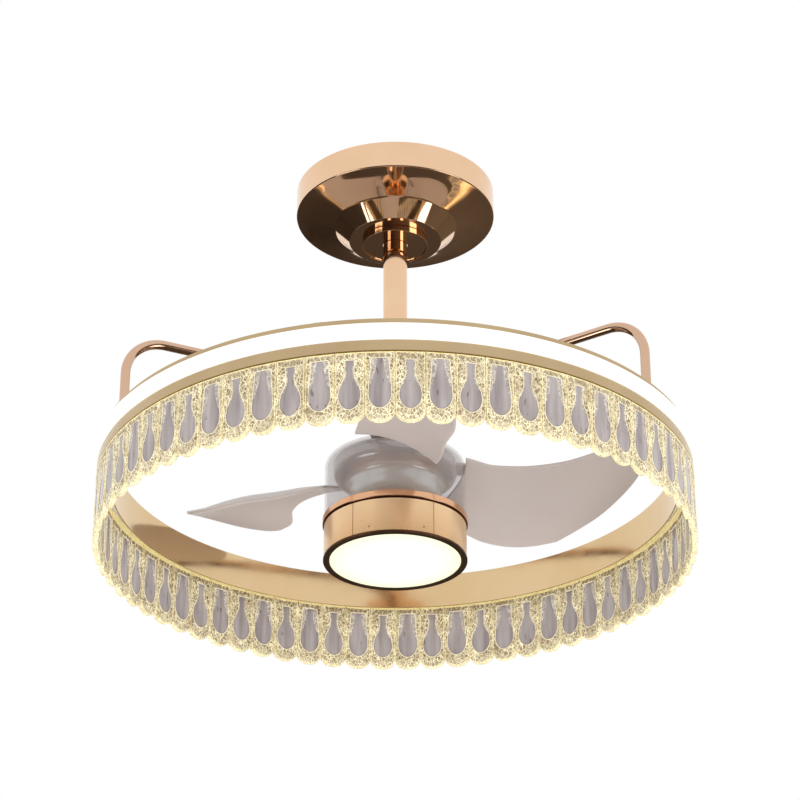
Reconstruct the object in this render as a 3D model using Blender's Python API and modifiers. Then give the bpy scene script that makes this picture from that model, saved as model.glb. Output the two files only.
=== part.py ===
"""A chandelier ceiling fan: a rose-gold canopy and rod, a lit ring on three bent arms with moulded
acrylic drops all round it, and a three-blade fan with a round downlight in the middle.

Metres, +Z up. The ceiling is the plane z = 0, and the rod, the ring and the fan share the Z axis.
"""

import math

import bmesh
import bpy
from mathutils import Matrix, Vector

mm = 0.001

# Clearances
seat_gap = 0.3 * mm
running_gap = 0.5 * mm
sliding_gap = 0.4 * mm
cut_overrun = 2.0 * mm
weld_distance = 0.002 * mm

# Ceiling plate and hanger bracket
plate_radius = 60.0 * mm
plate_thickness = 2.5 * mm
plate_hole_radius = 2.75 * mm
plate_hole_circle = 48.0 * mm
bracket_width = 30.0 * mm
bracket_thickness = 2.5 * mm
bracket_drop = 30.0 * mm
bracket_side_gap = 1.2 * mm
bracket_foot = 16.0 * mm
bracket_wire_hole = 8.0 * mm
bracket_screw_radius = 2.0 * mm
bracket_screw_head_radius = 3.8 * mm
bracket_screw_head = 2.4 * mm
pin_radius = 3.0 * mm
pin_below_rod_top = 12.0 * mm
pin_overhang = 4.0 * mm

# Electrical boxes under the ceiling plate
receiver_size = (26.0 * mm, 62.0 * mm, 15.0 * mm)
receiver_offset = 37.0 * mm
terminal_size = (13.0 * mm, 26.0 * mm, 10.0 * mm)
terminal_offset = 32.0 * mm
box_edge = 1.5 * mm

# Canopy cover and the collar that holds it up
canopy_radius = 87.5 * mm
canopy_wall = 24.8 * mm
canopy_edge = 1.2 * mm
canopy_dish_radius = 52.7 * mm
canopy_dish_drop = 10.0 * mm
canopy_cone_radius = 40.4 * mm
canopy_cone_drop = 13.4 * mm
canopy_sheet = 1.0 * mm
canopy_hole_clearance = 5.0 * mm
collar_radius = 28.7 * mm
collar_height = 5.0 * mm
collar_rim = 1.0 * mm
collar_recess = 1.2 * mm

# Downrod
rod_radius = 10.5 * mm
rod_wall = 1.4 * mm
rod_top_drop = 8.0 * mm
rod_length = 245.0 * mm

# Arms and the hub that they leave
arm_count = 3
first_arm_azimuth = math.radians(85.5)
arm_hub_radius = 25.0 * mm
arm_hub_height = 14.0 * mm
arm_hub_edge = 1.5 * mm
arm_above_rod_end = 50.4 * mm
arm_radius = 4.0 * mm
arm_socket_floor = 3.5 * mm
arm_bend_radius = 33.0 * mm
arm_drop = 63.0 * mm
arm_screw_radius = 1.8 * mm
arm_screw_head_radius = 3.3 * mm
arm_screw_head = 2.0 * mm
arm_screw_reach = 9.0 * mm

# Ring channel
ring_radius = 250.0 * mm
ring_width = 12.7 * mm
ring_sheet = 1.2 * mm
ring_lip = 4.0 * mm
light_band_height = 14.5 * mm
lower_band_height = 9.1 * mm
inner_wall_height = 31.2 * mm

# Light band and LED strips
light_band_bulge = 5.2 * mm
light_band_depth = 2.6 * mm
strip_thickness = 1.2 * mm
band_strip_height = 8.0 * mm
drop_strip_width = 7.0 * mm

# Acrylic drops, moulded in panels
drop_count = 68
drops_per_panel = 4
drop_thickness = 4.5 * mm
drop_length = 59.5 * mm
drop_round = 9.0 * mm
drop_proud = 0.3 * mm
drop_seam = 0.6 * mm
tenon_thickness = 2.0 * mm
tenon_overlap = 3.0 * mm
panel_gap = 0.4 * mm

# Motor
shaft_in_rod_gap = 1.1 * mm
shaft_wall = 3.5 * mm
shaft_in_rod = 30.0 * mm
shaft_collar_width = 3.0 * mm
shaft_below_nut = 3.0 * mm
coupling_pin_radius = 2.0 * mm
coupling_pin_above_rod_end = 14.0 * mm
bearing_radius = 15.0 * mm
bearing_height = 7.0 * mm
bearing_shield_width = 1.6 * mm
bearing_shield_depth = 0.5 * mm
bearing_wall = 3.0 * mm
stator_height = 12.0 * mm
winding_below_boss = 10.0 * mm
slot_count = 9
slot_radius = 3.0 * mm
winding_width = 11.0 * mm
winding_in_stator = 3.2 * mm
winding_height = 4.0 * mm
air_gap = 0.8 * mm
magnet_thickness = 4.5 * mm
magnet_height = 12.8 * mm

# Rotor
rod_to_rotor = 12.0 * mm
hub_radius = 59.4 * mm
hub_height = 53.7 * mm
hub_wall = 2.0 * mm
hub_shoulder = 7.0 * mm
hub_opening_radius = 30.0 * mm
lid_thickness = 2.6 * mm
bowl_sheet = 1.6 * mm
bowl_above_rim = 5.5 * mm
bowl_neck_radius = 38.9 * mm

# Blades
blade_count = 3
first_blade_azimuth = math.radians(0.0)
blade_thickness = 2.4 * mm
blade_root_gap = 0.4 * mm
blade_tip_gap = 18.3 * mm
blade_lead_rise = 13.6 * mm
blade_trail_drop = 28.4 * mm
blade_trail_rise = 10.0 * mm
blade_root_camber = 3.0 * mm
blade_tip_camber = 14.5 * mm
lug_width = 20.0 * mm
lug_behind_screw = 8.0 * mm
lug_thickness = 3.0 * mm
lug_overlap = 3.0 * mm
lug_azimuth = math.radians(17.5)
blade_screw_radius = 2.0 * mm
blade_screw_head_radius = 4.0 * mm
blade_screw_head = 2.4 * mm
blade_screw_in_lid = 6.1 * mm

# Downlight
flange_proud = 1.4 * mm
flange_height = 5.9 * mm
flange_edge = 1.0 * mm
flange_sheet = 2.0 * mm
lamp_groove = 0.6 * mm
drum_in_flange = 1.3 * mm
drum_height = 29.2 * mm
drum_wall = 2.4 * mm
drum_spigot = 3.4 * mm
rim_proud = 0.5 * mm
rim_width = 5.2 * mm
rim_height = 2.0 * mm
rim_edge = 0.3 * mm
rim_spigot = 4.0 * mm
diffuser_thickness = 2.5 * mm
diffuser_proud = 0.4 * mm
led_board_thickness = 1.6 * mm
led_board_depth = 15.0 * mm
lamp_nut_radius = 13.5 * mm
lamp_nut_height = 6.0 * mm

# Facets
drop_arc_steps = 6
fine_steps = 40
coarse_steps = 24
small_steps = 12
nut_sides = 6
tube_smoothness = 4
bend_steps = 8
band_arc_steps = 5
shoulder_steps = 3
blade_span_steps = 11
blade_chord_steps = 9

# The blade's shape, each value against the share of its span or chord: azimuths in degrees, heights
# and reach as shares of the rises, drops and reach above
lead_azimuths = ((0.0, 14.0), (0.22, 11.4), (0.42, 11.6), (0.63, 8.0), (0.84, 1.8), (1.0, 1.5))
trail_azimuths = ((0.0, 65.0), (0.3, 54.5), (0.5, 52.5), (0.72, 48.0), (1.0, 40.5))
lead_height_shares = ((0.0, 0.0), (0.31, 0.3), (0.52, 0.52), (0.73, 0.72), (1.0, 1.0))
trail_height_shares = ((0.0, 0.25), (0.25, 0.0), (0.65, 0.0), (0.82, 0.3), (1.0, 1.0))
tip_reach_shares = ((0.0, 0.927), (0.1, 0.962), (0.24, 0.992), (0.42, 1.0), (0.6, 0.985), (0.75, 0.955),
                    (0.88, 0.907), (1.0, 0.854))
# The canopy's dish, drop against the way in from the rim, and the bowl, radius against its depth
dish_drop_shares = ((0.25, 0.16), (0.6, 0.5))
bowl_curve_shares = ((0.13, 1.0), (0.24, 0.86), (0.31, 0.5), (0.36, 0.0), (0.69, 0.0), (0.82, -0.1),
                     (0.92, -0.28), (1.0, -0.55))
screw_head_edge_shares = (0.7, 0.45)

# Heights, from the ceiling down
canopy_bottom = -(canopy_wall + canopy_dish_drop + canopy_cone_drop)
bracket_top = -plate_thickness - seat_gap
rod_top = -rod_top_drop
rod_bottom = rod_top - rod_length
hanger_pin_height = rod_top - pin_below_rod_top
arm_height = rod_bottom + arm_above_rod_end
ring_top = arm_height - arm_drop - seat_gap
lip_bottom = ring_top - ring_lip
shelf_top = lip_bottom - light_band_height
shelf_bottom = shelf_top - ring_sheet
lower_band_bottom = shelf_top - lower_band_height
drop_top = lower_band_bottom - drop_seam
tenon_top = shelf_bottom - strip_thickness - 2 * seat_gap
hub_top = rod_bottom - rod_to_rotor
hub_bottom = hub_top - hub_height
lid_top = hub_top - hub_wall - seat_gap
lid_bottom = lid_top - lid_thickness
bowl_top = lid_bottom - seat_gap
bowl_bottom = hub_bottom + bowl_above_rim
bowl_depth = bowl_top - bowl_bottom
upper_bearing_height = (lid_top + lid_bottom) / 2
lower_bearing_height = bowl_bottom + bowl_sheet / 2 + bearing_height / 2
upper_boss_bottom = upper_bearing_height - bearing_height / 2
stator_top = upper_boss_bottom - winding_below_boss - winding_height - seat_gap
stator_bottom = stator_top - stator_height
flange_top = hub_bottom - running_gap
flange_bottom = flange_top - flange_height
drum_top = flange_bottom - lamp_groove
drum_bottom = drum_top - drum_height
rim_top = drum_bottom - seat_gap
rim_bottom = rim_top - rim_height
lamp_nut_top = flange_top - flange_sheet - seat_gap
shaft_bottom = lamp_nut_top - lamp_nut_height - shaft_below_nut

# Radii that follow from their neighbours
ring_inner_radius = ring_radius - ring_width
arm_circle = (ring_radius + ring_inner_radius) / 2
arm_start_radius = rod_radius + arm_socket_floor
arm_socket_depth = arm_hub_radius - arm_start_radius
drop_face_radius = ring_radius + drop_proud
tenon_face_radius = ring_radius - ring_sheet - seat_gap
cheek_inside = rod_radius + bracket_side_gap
bracket_screw_offset = cheek_inside + bracket_thickness + bracket_foot / 2
shaft_radius = rod_radius - rod_wall - shaft_in_rod_gap
shaft_bore = shaft_radius - shaft_wall
shaft_collar_radius = shaft_radius + shaft_collar_width
shaft_seat_radius = shaft_radius + seat_gap
bearing_seat_radius = bearing_radius + seat_gap
bearing_boss_radius = bearing_seat_radius + bearing_wall
lid_radius = hub_radius - hub_shoulder - seat_gap
magnet_radius = bowl_neck_radius - bowl_sheet - seat_gap
stator_radius = magnet_radius - magnet_thickness - air_gap
winding_outer_radius = stator_radius - winding_in_stator
winding_inner_radius = winding_outer_radius - winding_width
slot_circle = (winding_inner_radius + winding_outer_radius) / 2
blade_root_radius = hub_radius + blade_root_gap
blade_reach = ring_inner_radius - blade_tip_gap
blade_screw_circle = lid_radius - blade_screw_in_lid
lug_inner_radius = blade_screw_circle - lug_behind_screw
flange_radius = hub_radius + flange_proud
drum_radius = flange_radius - drum_in_flange
drum_inner_radius = drum_radius - drum_wall
rim_radius = drum_radius + rim_proud
rim_inner_radius = rim_radius - rim_width
pitch = math.tau / drop_count

for scene_object in list(bpy.data.objects):
    bpy.data.objects.remove(scene_object, do_unlink=True)

parts = bpy.data.collections.new("chandelier_ceiling_fan")
cutters = bpy.data.collections.new("cutters")
bpy.context.scene.collection.children.link(parts)
bpy.context.scene.collection.children.link(cutters)

# Looks: colour, roughness and metallic value
rose_gold = ((0.83, 0.55, 0.38), 0.12, 1.0)
pale_gold = ((0.78, 0.62, 0.36), 0.2, 1.0)
zinc = ((0.62, 0.62, 0.6), 0.4, 1.0)
steel = ((0.55, 0.55, 0.56), 0.3, 1.0)
silver_paint = ((0.62, 0.64, 0.63), 0.28, 0.8)
copper = ((0.72, 0.33, 0.16), 0.35, 1.0)
magnet_black = ((0.06, 0.06, 0.065), 0.5, 0.3)
smoke_plastic = ((0.52, 0.46, 0.43), 0.2, 0.0)
white_acrylic = ((0.95, 0.95, 0.9), 0.3, 0.0)
drop_acrylic = ((0.85, 0.78, 0.58), 0.15, 0.0)
dark_bronze = ((0.11, 0.06, 0.03), 0.3, 0.6)
circuit_white = ((0.85, 0.86, 0.84), 0.45, 0.0)
box_plastic = ((0.8, 0.8, 0.78), 0.5, 0.0)


def finish(name, colour, roughness, metallic):
    """A Principled material of one look."""
    material = bpy.data.materials.new(name)
    material.use_nodes = True
    shader = material.node_tree.nodes["Principled BSDF"]
    shader.inputs["Base Color"].default_value = (*colour, 1.0)
    shader.inputs["Roughness"].default_value = roughness
    shader.inputs["Metallic"].default_value = metallic
    return material


def add_part(name, mesh, look, axis=None):
    """A finished sub-part with its own material. One that moves hangs from its joint's axis."""
    part = bpy.data.objects.new(name, mesh)
    mesh.materials.append(finish(name, *look))
    parts.objects.link(part)
    part.parent = axis
    return part


def axis_empty(name):
    """A moving body's axis: the Z axis, which every turned piece is made about."""
    empty = bpy.data.objects.new(name, None)
    parts.objects.link(empty)
    return empty


def signed_area(outline):
    """Twice the area inside a loop of (radius, height) points, negative when it runs clockwise."""
    following = outline[1:] + outline[:1]
    return sum(a[0] * b[1] - b[0] * a[1] for a, b in zip(outline, following))


def profile_mesh(name, outline, closed):
    """An edge loop or an open line of (radius, height) points in the XZ plane."""
    points = list(outline)
    if closed and signed_area(points) > 0:
        points.reverse()
    last = len(points) if closed else len(points) - 1
    edges = [(i, (i + 1) % len(points)) for i in range(last)]
    mesh = bpy.data.meshes.new(name)
    mesh.from_pydata([(radius, 0.0, height) for radius, height in points], edges, [])
    return mesh


def turn(obj, steps):
    """Spin a profile once round the Z axis."""
    screw = obj.modifiers.new("turned", "SCREW")
    screw.axis = "Z"
    screw.steps = steps
    screw.render_steps = steps
    screw.use_merge_vertices = True
    screw.merge_threshold = weld_distance
    screw.use_smooth_shade = True


def turned(name, outline, look, steps=fine_steps, closed=True, axis=None):
    """A round solid from its section, or from an open line that starts and ends on the axis."""
    obj = add_part(name, profile_mesh(name, outline, closed), look, axis)
    turn(obj, steps)
    return obj


def turned_shell(name, outline, wall, look, steps=fine_steps, axis=None):
    """A round sheet shell whose outer face is an open line, run from top to bottom."""
    obj = turned(name, outline, look, steps, False, axis)
    thicken_inwards(obj, wall)
    return obj


def disc(name, radius, top, bottom, look):
    """A plain round disc."""
    centre = (0.0, 0.0, (top + bottom) / 2)
    return add_part(name, cylinder_mesh(radius, top - bottom, fine_steps, [centre]), look)


def tube_section(outer, inner, top, bottom):
    """The section of a plain round tube."""
    return [(outer, top), (outer, bottom), (inner, bottom), (inner, top)]


def arc_points(centre, radius, start, end, steps):
    """Points along an arc, its angles in degrees from +X."""
    angles = [math.radians(start + (end - start) * i / steps) for i in range(steps + 1)]
    return [(centre[0] + radius * math.cos(a), centre[1] + radius * math.sin(a)) for a in angles]


def mesh_from(build):
    """Run a bmesh builder and return its result as a mesh."""
    shape = bmesh.new()
    build(shape)
    mesh = bpy.data.meshes.new("shape")
    shape.to_mesh(mesh)
    shape.free()
    return mesh


def cylinder_mesh(radius, length, steps, centres, direction=(0.0, 0.0, 1.0)):
    """One capped cylinder about each centre, with its axis along the direction."""
    upright = Vector((0.0, 0.0, 1.0))
    turned_to = upright.rotation_difference(Vector(direction)).to_matrix().to_4x4()

    def build(shape):
        for centre in centres:
            bmesh.ops.create_cone(shape, cap_ends=True, segments=steps, radius1=radius, radius2=radius,
                                  depth=length, matrix=Matrix.Translation(centre) @ turned_to)

    return mesh_from(build)


def box_mesh(size, centre, azimuth=0.0):
    """A box about its centre, turned about the Z axis after it is placed."""
    place = Matrix.Rotation(azimuth, 4, "Z") @ Matrix.Translation(centre) @ Matrix.Diagonal((*size, 1.0))
    return mesh_from(lambda shape: bmesh.ops.create_cube(shape, size=1.0, matrix=place))


def break_edges(obj, width):
    """Chamfer an object's sharp edges."""
    bevel = obj.modifiers.new("edges", "BEVEL")
    bevel.width = width
    bevel.segments = 1
    bevel.limit_method = "ANGLE"


def combine(obj, operation, name, mesh):
    """Cut an object with a mesh, or join the mesh to it, and return the mesh's own object."""
    other = bpy.data.objects.new(name, mesh)
    other.hide_render = True
    other.display_type = "WIRE"
    cutters.objects.link(other)
    boolean = obj.modifiers.new(name, "BOOLEAN")
    boolean.operation = operation
    boolean.object = other
    boolean.solver = "EXACT"
    return other


def around(radius, azimuth, height=0.0):
    """A point at a radius and azimuth about the Z axis."""
    return Vector((radius * math.cos(azimuth), radius * math.sin(azimuth), height))


def curve_at(table, share):
    """Read a table of (share, value) pairs along a smooth curve through its points."""
    slopes = [(b[1] - a[1]) / (b[0] - a[0]) for a, b in zip(table, table[1:])]
    tangents = [slopes[0]] + [(a + b) / 2 for a, b in zip(slopes, slopes[1:])] + [slopes[-1]]
    for i, ((x0, y0), (x1, y1)) in enumerate(zip(table, table[1:])):
        if share <= x1 or i == len(slopes) - 1:
            width = x1 - x0
            t = (share - x0) / width
            blend = t * t * (3 - 2 * t)
            bend = tangents[i] * (1 - t) ** 2 * t - tangents[i + 1] * t * t * (1 - t)
            return y0 + (y1 - y0) * blend + width * bend


def screw_outline(shank_radius, shank_length, head_radius, head_height):
    """A pan-head screw, head up, with the seat of its head at height zero."""
    flat_share, side_share = screw_head_edge_shares
    head = [(0.0, head_height), (head_radius * flat_share, head_height),
            (head_radius, head_height * side_share), (head_radius, 0.0)]
    return [*head, (shank_radius, 0.0), (shank_radius, -shank_length), (0.0, -shank_length)]


def screw_part(name, outline, look, seat, head_up, axis=None):
    """A turned screw with its head's seat at a point, its head above or below."""
    if not head_up:
        outline = [(radius, -height) for radius, height in reversed(outline)]
    obj = turned(name, outline, look, small_steps, False, axis)
    obj.location = seat
    return obj


def build_ceiling_plate():
    centre = (0.0, 0.0, -plate_thickness / 2)
    disc = cylinder_mesh(plate_radius, plate_thickness, fine_steps, [centre])
    plate = add_part("ceiling_plate", disc, zinc)
    depth = plate_thickness + 2 * cut_overrun
    wall_holes = [(0.0, side * plate_hole_circle, centre[2]) for side in (-1, 1)]
    combine(plate, "DIFFERENCE", "plate_wall_holes",
            cylinder_mesh(plate_hole_radius, depth, small_steps, wall_holes))
    tappings = [(0.0, side * bracket_screw_offset, centre[2]) for side in (-1, 1)]
    combine(plate, "DIFFERENCE", "plate_tappings",
            cylinder_mesh(bracket_screw_radius + seat_gap, depth, small_steps, tappings))


def build_hanger_bracket():
    """A strap with two feet under the plate and two cheeks that the pin rests in."""
    web_centre = bracket_top - bracket_thickness / 2
    reach = cheek_inside + bracket_thickness + bracket_foot
    web = box_mesh((bracket_width, 2 * reach, bracket_thickness), (0.0, 0.0, web_centre))
    strap = add_part("hanger_bracket", web, zinc)
    for side, name in ((-1, "near"), (1, "far")):
        place = (0.0, side * (cheek_inside + bracket_thickness / 2), bracket_top - bracket_drop / 2)
        combine(strap, "UNION", f"bracket_{name}_cheek",
                box_mesh((bracket_width, bracket_thickness, bracket_drop), place))
    depth = bracket_thickness + 2 * cut_overrun
    combine(strap, "DIFFERENCE", "bracket_wire_hole",
            cylinder_mesh(bracket_wire_hole, depth, coarse_steps, [(0.0, 0.0, web_centre)]))
    seats = [(0.0, side * bracket_screw_offset, web_centre) for side in (-1, 1)]
    combine(strap, "DIFFERENCE", "bracket_foot_holes",
            cylinder_mesh(bracket_screw_radius + seat_gap, depth, small_steps, seats))
    combine(strap, "DIFFERENCE", "bracket_pin_holes",
            cylinder_mesh(pin_radius + seat_gap, 2 * reach, small_steps, [(0.0, 0.0, hanger_pin_height)],
                          (0.0, 1.0, 0.0)))
    outline = screw_outline(bracket_screw_radius, bracket_thickness + plate_thickness,
                            bracket_screw_head_radius, bracket_screw_head)
    for number, side in ((1, -1), (2, 1)):
        seat = (0.0, side * bracket_screw_offset, bracket_top - bracket_thickness - seat_gap)
        screw_part(f"bracket_screw_{number}", outline, steel, seat, False)


def build_hanger_pin():
    length = 2 * (cheek_inside + bracket_thickness + pin_overhang)
    add_part("hanger_pin", cylinder_mesh(pin_radius, length, small_steps, [(0.0, 0.0, hanger_pin_height)],
                                         (0.0, 1.0, 0.0)), steel)


def build_boxes():
    """The remote receiver and the terminal block, held under the ceiling plate."""
    for name, size, offset in (("receiver_box", receiver_size, receiver_offset),
                               ("terminal_block", terminal_size, -terminal_offset)):
        box = add_part(name, box_mesh(size, (offset, 0.0, bracket_top - size[2] / 2)), box_plastic)
        break_edges(box, box_edge)


def build_canopy(axis):
    """The cover, open at the ceiling, and the recessed collar that grips the rod under it."""
    rim = canopy_radius - canopy_edge
    dish = [(rim + (canopy_dish_radius - rim) * across, -canopy_wall - canopy_dish_drop * down)
            for across, down in dish_drop_shares]
    dish_bottom = -canopy_wall - canopy_dish_drop
    outline = [(canopy_radius, 0.0), (canopy_radius, -canopy_wall + canopy_edge), (rim, -canopy_wall), *dish,
               (canopy_dish_radius, dish_bottom), (canopy_cone_radius, canopy_bottom),
               (rod_radius + canopy_hole_clearance, canopy_bottom)]
    turned_shell("canopy_cover", outline, canopy_sheet, rose_gold, axis=axis)
    top = canopy_bottom - seat_gap
    bottom = top - collar_height
    inside = rod_radius + sliding_gap
    recess_radius = collar_radius - collar_rim
    recess_top = bottom + collar_recess
    turned("canopy_collar", [(collar_radius, top), (collar_radius, bottom), (recess_radius, bottom),
                             (recess_radius, recess_top), (inside, recess_top), (inside, top)], rose_gold,
           axis=axis)


def build_downrod():
    rod = turned("downrod", tube_section(rod_radius, rod_radius - rod_wall, rod_top, rod_bottom), rose_gold,
                 coarse_steps)
    across = 2 * (rod_radius + cut_overrun)
    combine(rod, "DIFFERENCE", "rod_pin_holes",
            cylinder_mesh(pin_radius + seat_gap, across, small_steps, [(0.0, 0.0, hanger_pin_height)],
                          (0.0, 1.0, 0.0)))
    combine(rod, "DIFFERENCE", "rod_coupling_holes",
            cylinder_mesh(coupling_pin_radius + seat_gap, across, small_steps,
                          [(0.0, 0.0, rod_bottom + coupling_pin_above_rod_end)], (1.0, 0.0, 0.0)))


def arm_azimuths():
    return [first_arm_azimuth + math.tau * number / arm_count for number in range(arm_count)]


def build_arm_hub():
    """The disc on the rod, with a blind radial socket for each arm."""
    top = arm_height + arm_hub_height / 2
    bottom = arm_height - arm_hub_height / 2
    inside = rod_radius + seat_gap
    hub = turned("arm_hub", [(arm_hub_radius - arm_hub_edge, top), (arm_hub_radius, top - arm_hub_edge),
                             (arm_hub_radius, bottom + arm_hub_edge), (arm_hub_radius - arm_hub_edge, bottom),
                             (inside, bottom), (inside, top)], rose_gold)
    depth = arm_socket_depth + cut_overrun
    middle = arm_hub_radius - arm_socket_depth - seat_gap + depth / 2
    for number, azimuth in enumerate(arm_azimuths(), 1):
        place = around(middle, azimuth, arm_height)
        combine(hub, "DIFFERENCE", f"arm_socket_{number}",
                cylinder_mesh(arm_radius + seat_gap, depth, coarse_steps, [place], around(1.0, azimuth)))


def arm_route(azimuth):
    """Out of the hub, round the bend and straight down on to the ring."""
    start = around(arm_start_radius, azimuth, arm_height)
    bend_radius = arm_circle - arm_bend_radius
    bend = [around(radius, azimuth, height) for radius, height in
            arc_points((bend_radius, arm_height - arm_bend_radius), arm_bend_radius, 90.0, 0.0, bend_steps)]
    return [start, *bend, around(arm_circle, azimuth, arm_height - arm_drop)]


def tube_mesh(name, route, radius):
    """A round bar along a route, as a closed mesh."""
    curve = bpy.data.curves.new(name, "CURVE")
    curve.dimensions = "3D"
    curve.bevel_depth = radius
    curve.bevel_resolution = tube_smoothness
    curve.use_fill_caps = True
    spline = curve.splines.new("POLY")
    spline.points.add(len(route) - 1)
    for point, place in zip(spline.points, route):
        point.co = (*place, 1.0)
    guide = bpy.data.objects.new(name, curve)
    bpy.context.scene.collection.objects.link(guide)
    evaluated = guide.evaluated_get(bpy.context.evaluated_depsgraph_get())
    mesh = bpy.data.meshes.new_from_object(evaluated)
    bpy.data.objects.remove(guide)
    shape = bmesh.new()
    shape.from_mesh(mesh)
    bmesh.ops.remove_doubles(shape, verts=shape.verts, dist=weld_distance)
    shape.to_mesh(mesh)
    shape.free()
    mesh.shade_smooth()
    return mesh


def build_arms():
    screw = screw_outline(arm_screw_radius, arm_screw_reach, arm_screw_head_radius, arm_screw_head)
    bore_depth = arm_screw_reach + cut_overrun
    for number, azimuth in enumerate(arm_azimuths(), 1):
        arm = add_part(f"arm_{number}", tube_mesh(f"arm_{number}", arm_route(azimuth), arm_radius), rose_gold)
        foot = arm_height - arm_drop
        combine(arm, "DIFFERENCE", f"arm_bore_{number}",
                cylinder_mesh(arm_screw_radius + seat_gap, 2 * bore_depth, small_steps,
                              [around(arm_circle, azimuth, foot)]))
        seat = around(arm_circle, azimuth, ring_top - ring_sheet - seat_gap)
        screw_part(f"arm_screw_{number}", screw, steel, seat, False)


def build_ring_channel():
    """One rolled section: lip and top, inner wall, shelf and lower band."""
    inside = ring_inner_radius + ring_sheet
    outside = ring_radius - ring_sheet
    outline = [(ring_radius, ring_top), (ring_radius, lip_bottom), (outside, lip_bottom),
               (outside, ring_top - ring_sheet), (inside, ring_top - ring_sheet), (inside, shelf_top),
               (ring_radius, shelf_top), (ring_radius, lower_band_bottom), (outside, lower_band_bottom),
               (outside, shelf_bottom), (inside, shelf_bottom), (inside, ring_top - inner_wall_height),
               (ring_inner_radius, ring_top - inner_wall_height), (ring_inner_radius, ring_top)]
    ring = turned("ring_channel", outline, pale_gold, drop_count)
    seats = [around(arm_circle, azimuth, ring_top) for azimuth in arm_azimuths()]
    combine(ring, "DIFFERENCE", "ring_screw_holes",
            cylinder_mesh(arm_screw_radius + seat_gap, 2 * (ring_sheet + cut_overrun), small_steps, seats))


def build_lighting():
    """The bulged light band, the strip behind it and the strip over the drops."""
    top = lip_bottom - seat_gap
    bottom = shelf_top + seat_gap
    middle = (top + bottom) / 2
    bulge = [(ring_radius + light_band_bulge * across, middle + (top - middle) * up)
             for across, up in arc_points((0.0, 0.0), 1.0, 90.0, -90.0, band_arc_steps)]
    back = ring_radius - light_band_depth
    turned("light_band", [*bulge, (back, bottom), (back, top)], white_acrylic, drop_count)
    wall = ring_inner_radius + ring_sheet + seat_gap
    turned("band_led_strip", tube_section(wall + strip_thickness, wall, middle + band_strip_height / 2,
                                          middle - band_strip_height / 2), circuit_white, drop_count)
    strip_top = shelf_bottom - seat_gap
    turned("drop_led_strip", tube_section(tenon_face_radius, tenon_face_radius - drop_strip_width, strip_top,
                                          strip_top - strip_thickness), circuit_white, drop_count)


def drop_outline(width):
    """Half across, then down: one drop's flat outline, with its rounded tip."""
    half = width / 2
    shoulder = drop_top - drop_length + drop_round
    tip = [(half * across, shoulder + drop_round * up)
           for across, up in arc_points((0.0, 0.0), 1.0, 0.0, -180.0, drop_arc_steps)]
    return [(half, drop_top), *tip, (-half, drop_top)]


def tenon_outline(width):
    """The plain strip over a drop that goes up behind the ring's lower band."""
    half = width / 2
    bottom = drop_top - tenon_overlap
    return [(half, tenon_top), (half, bottom), (-half, bottom), (-half, tenon_top)]


def facet_row_mesh(outline, face_radius, first_azimuth, step):
    """Flat outlines side by side, each on its own facet of the ring, hinged edge to edge."""
    facet = face_radius * math.cos(step / 2)
    width = 2 * face_radius * math.sin(step / 2)

    def build(shape):
        for number in range(drops_per_panel):
            turn_to = Matrix.Rotation(first_azimuth + (number + 0.5) * step, 4, "Z")
            corners = [turn_to @ Vector((facet, across, height)) for across, height in outline(width)]
            shape.faces.new([shape.verts.new(corner) for corner in reversed(corners)])
        bmesh.ops.remove_doubles(shape, verts=shape.verts, dist=weld_distance)

    return mesh_from(build)


def thicken_inwards(obj, thickness):
    """Give an open surface its wall on the side away from its faces."""
    sheet = obj.modifiers.new("sheet", "SOLIDIFY")
    sheet.thickness = thickness
    sheet.offset = -1.0
    sheet.use_even_offset = True


def build_drop_panels():
    """Panels of drops, flush under the lower band, each with a tenon that goes up behind it.

    A panel's square-cut ends lean together towards its back, where they keep the gap.
    """
    panel_count = drop_count // drops_per_panel
    end_lean = drop_thickness * math.tan(pitch / 2)
    gap_angle = (panel_gap + 2 * end_lean) / drop_face_radius
    step = pitch - gap_angle / drops_per_panel
    for number in range(panel_count):
        name = f"drop_panel_{number + 1:02d}"
        first = number * drops_per_panel * pitch + gap_angle / 2
        panel = add_part(name, facet_row_mesh(drop_outline, drop_face_radius, first, step), drop_acrylic)
        thicken_inwards(panel, drop_thickness)
        tenon = combine(panel, "UNION", f"{name}_tenon",
                        facet_row_mesh(tenon_outline, tenon_face_radius, first, step))
        thicken_inwards(tenon, tenon_thickness)


def build_shaft():
    """The hollow shaft: pinned in the rod, through both bearings, collared over the lamp."""
    collar_top = lower_bearing_height - bearing_height / 2 - seat_gap
    collar_bottom = flange_top + seat_gap
    shaft = turned("motor_shaft", [(shaft_radius, rod_bottom + shaft_in_rod), (shaft_radius, collar_top),
                                   (shaft_collar_radius, collar_top), (shaft_collar_radius, collar_bottom),
                                   (shaft_radius, collar_bottom), (shaft_radius, shaft_bottom),
                                   (shaft_bore, shaft_bottom), (shaft_bore, rod_bottom + shaft_in_rod)],
                   steel, coarse_steps)
    pin_place = (0.0, 0.0, rod_bottom + coupling_pin_above_rod_end)
    combine(shaft, "DIFFERENCE", "shaft_pin_holes",
            cylinder_mesh(coupling_pin_radius + seat_gap, 2 * (shaft_radius + cut_overrun), small_steps,
                          [pin_place], (1.0, 0.0, 0.0)))
    add_part("coupling_pin", cylinder_mesh(coupling_pin_radius, 2 * rod_radius, small_steps, [pin_place],
                                           (1.0, 0.0, 0.0)), steel)


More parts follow.
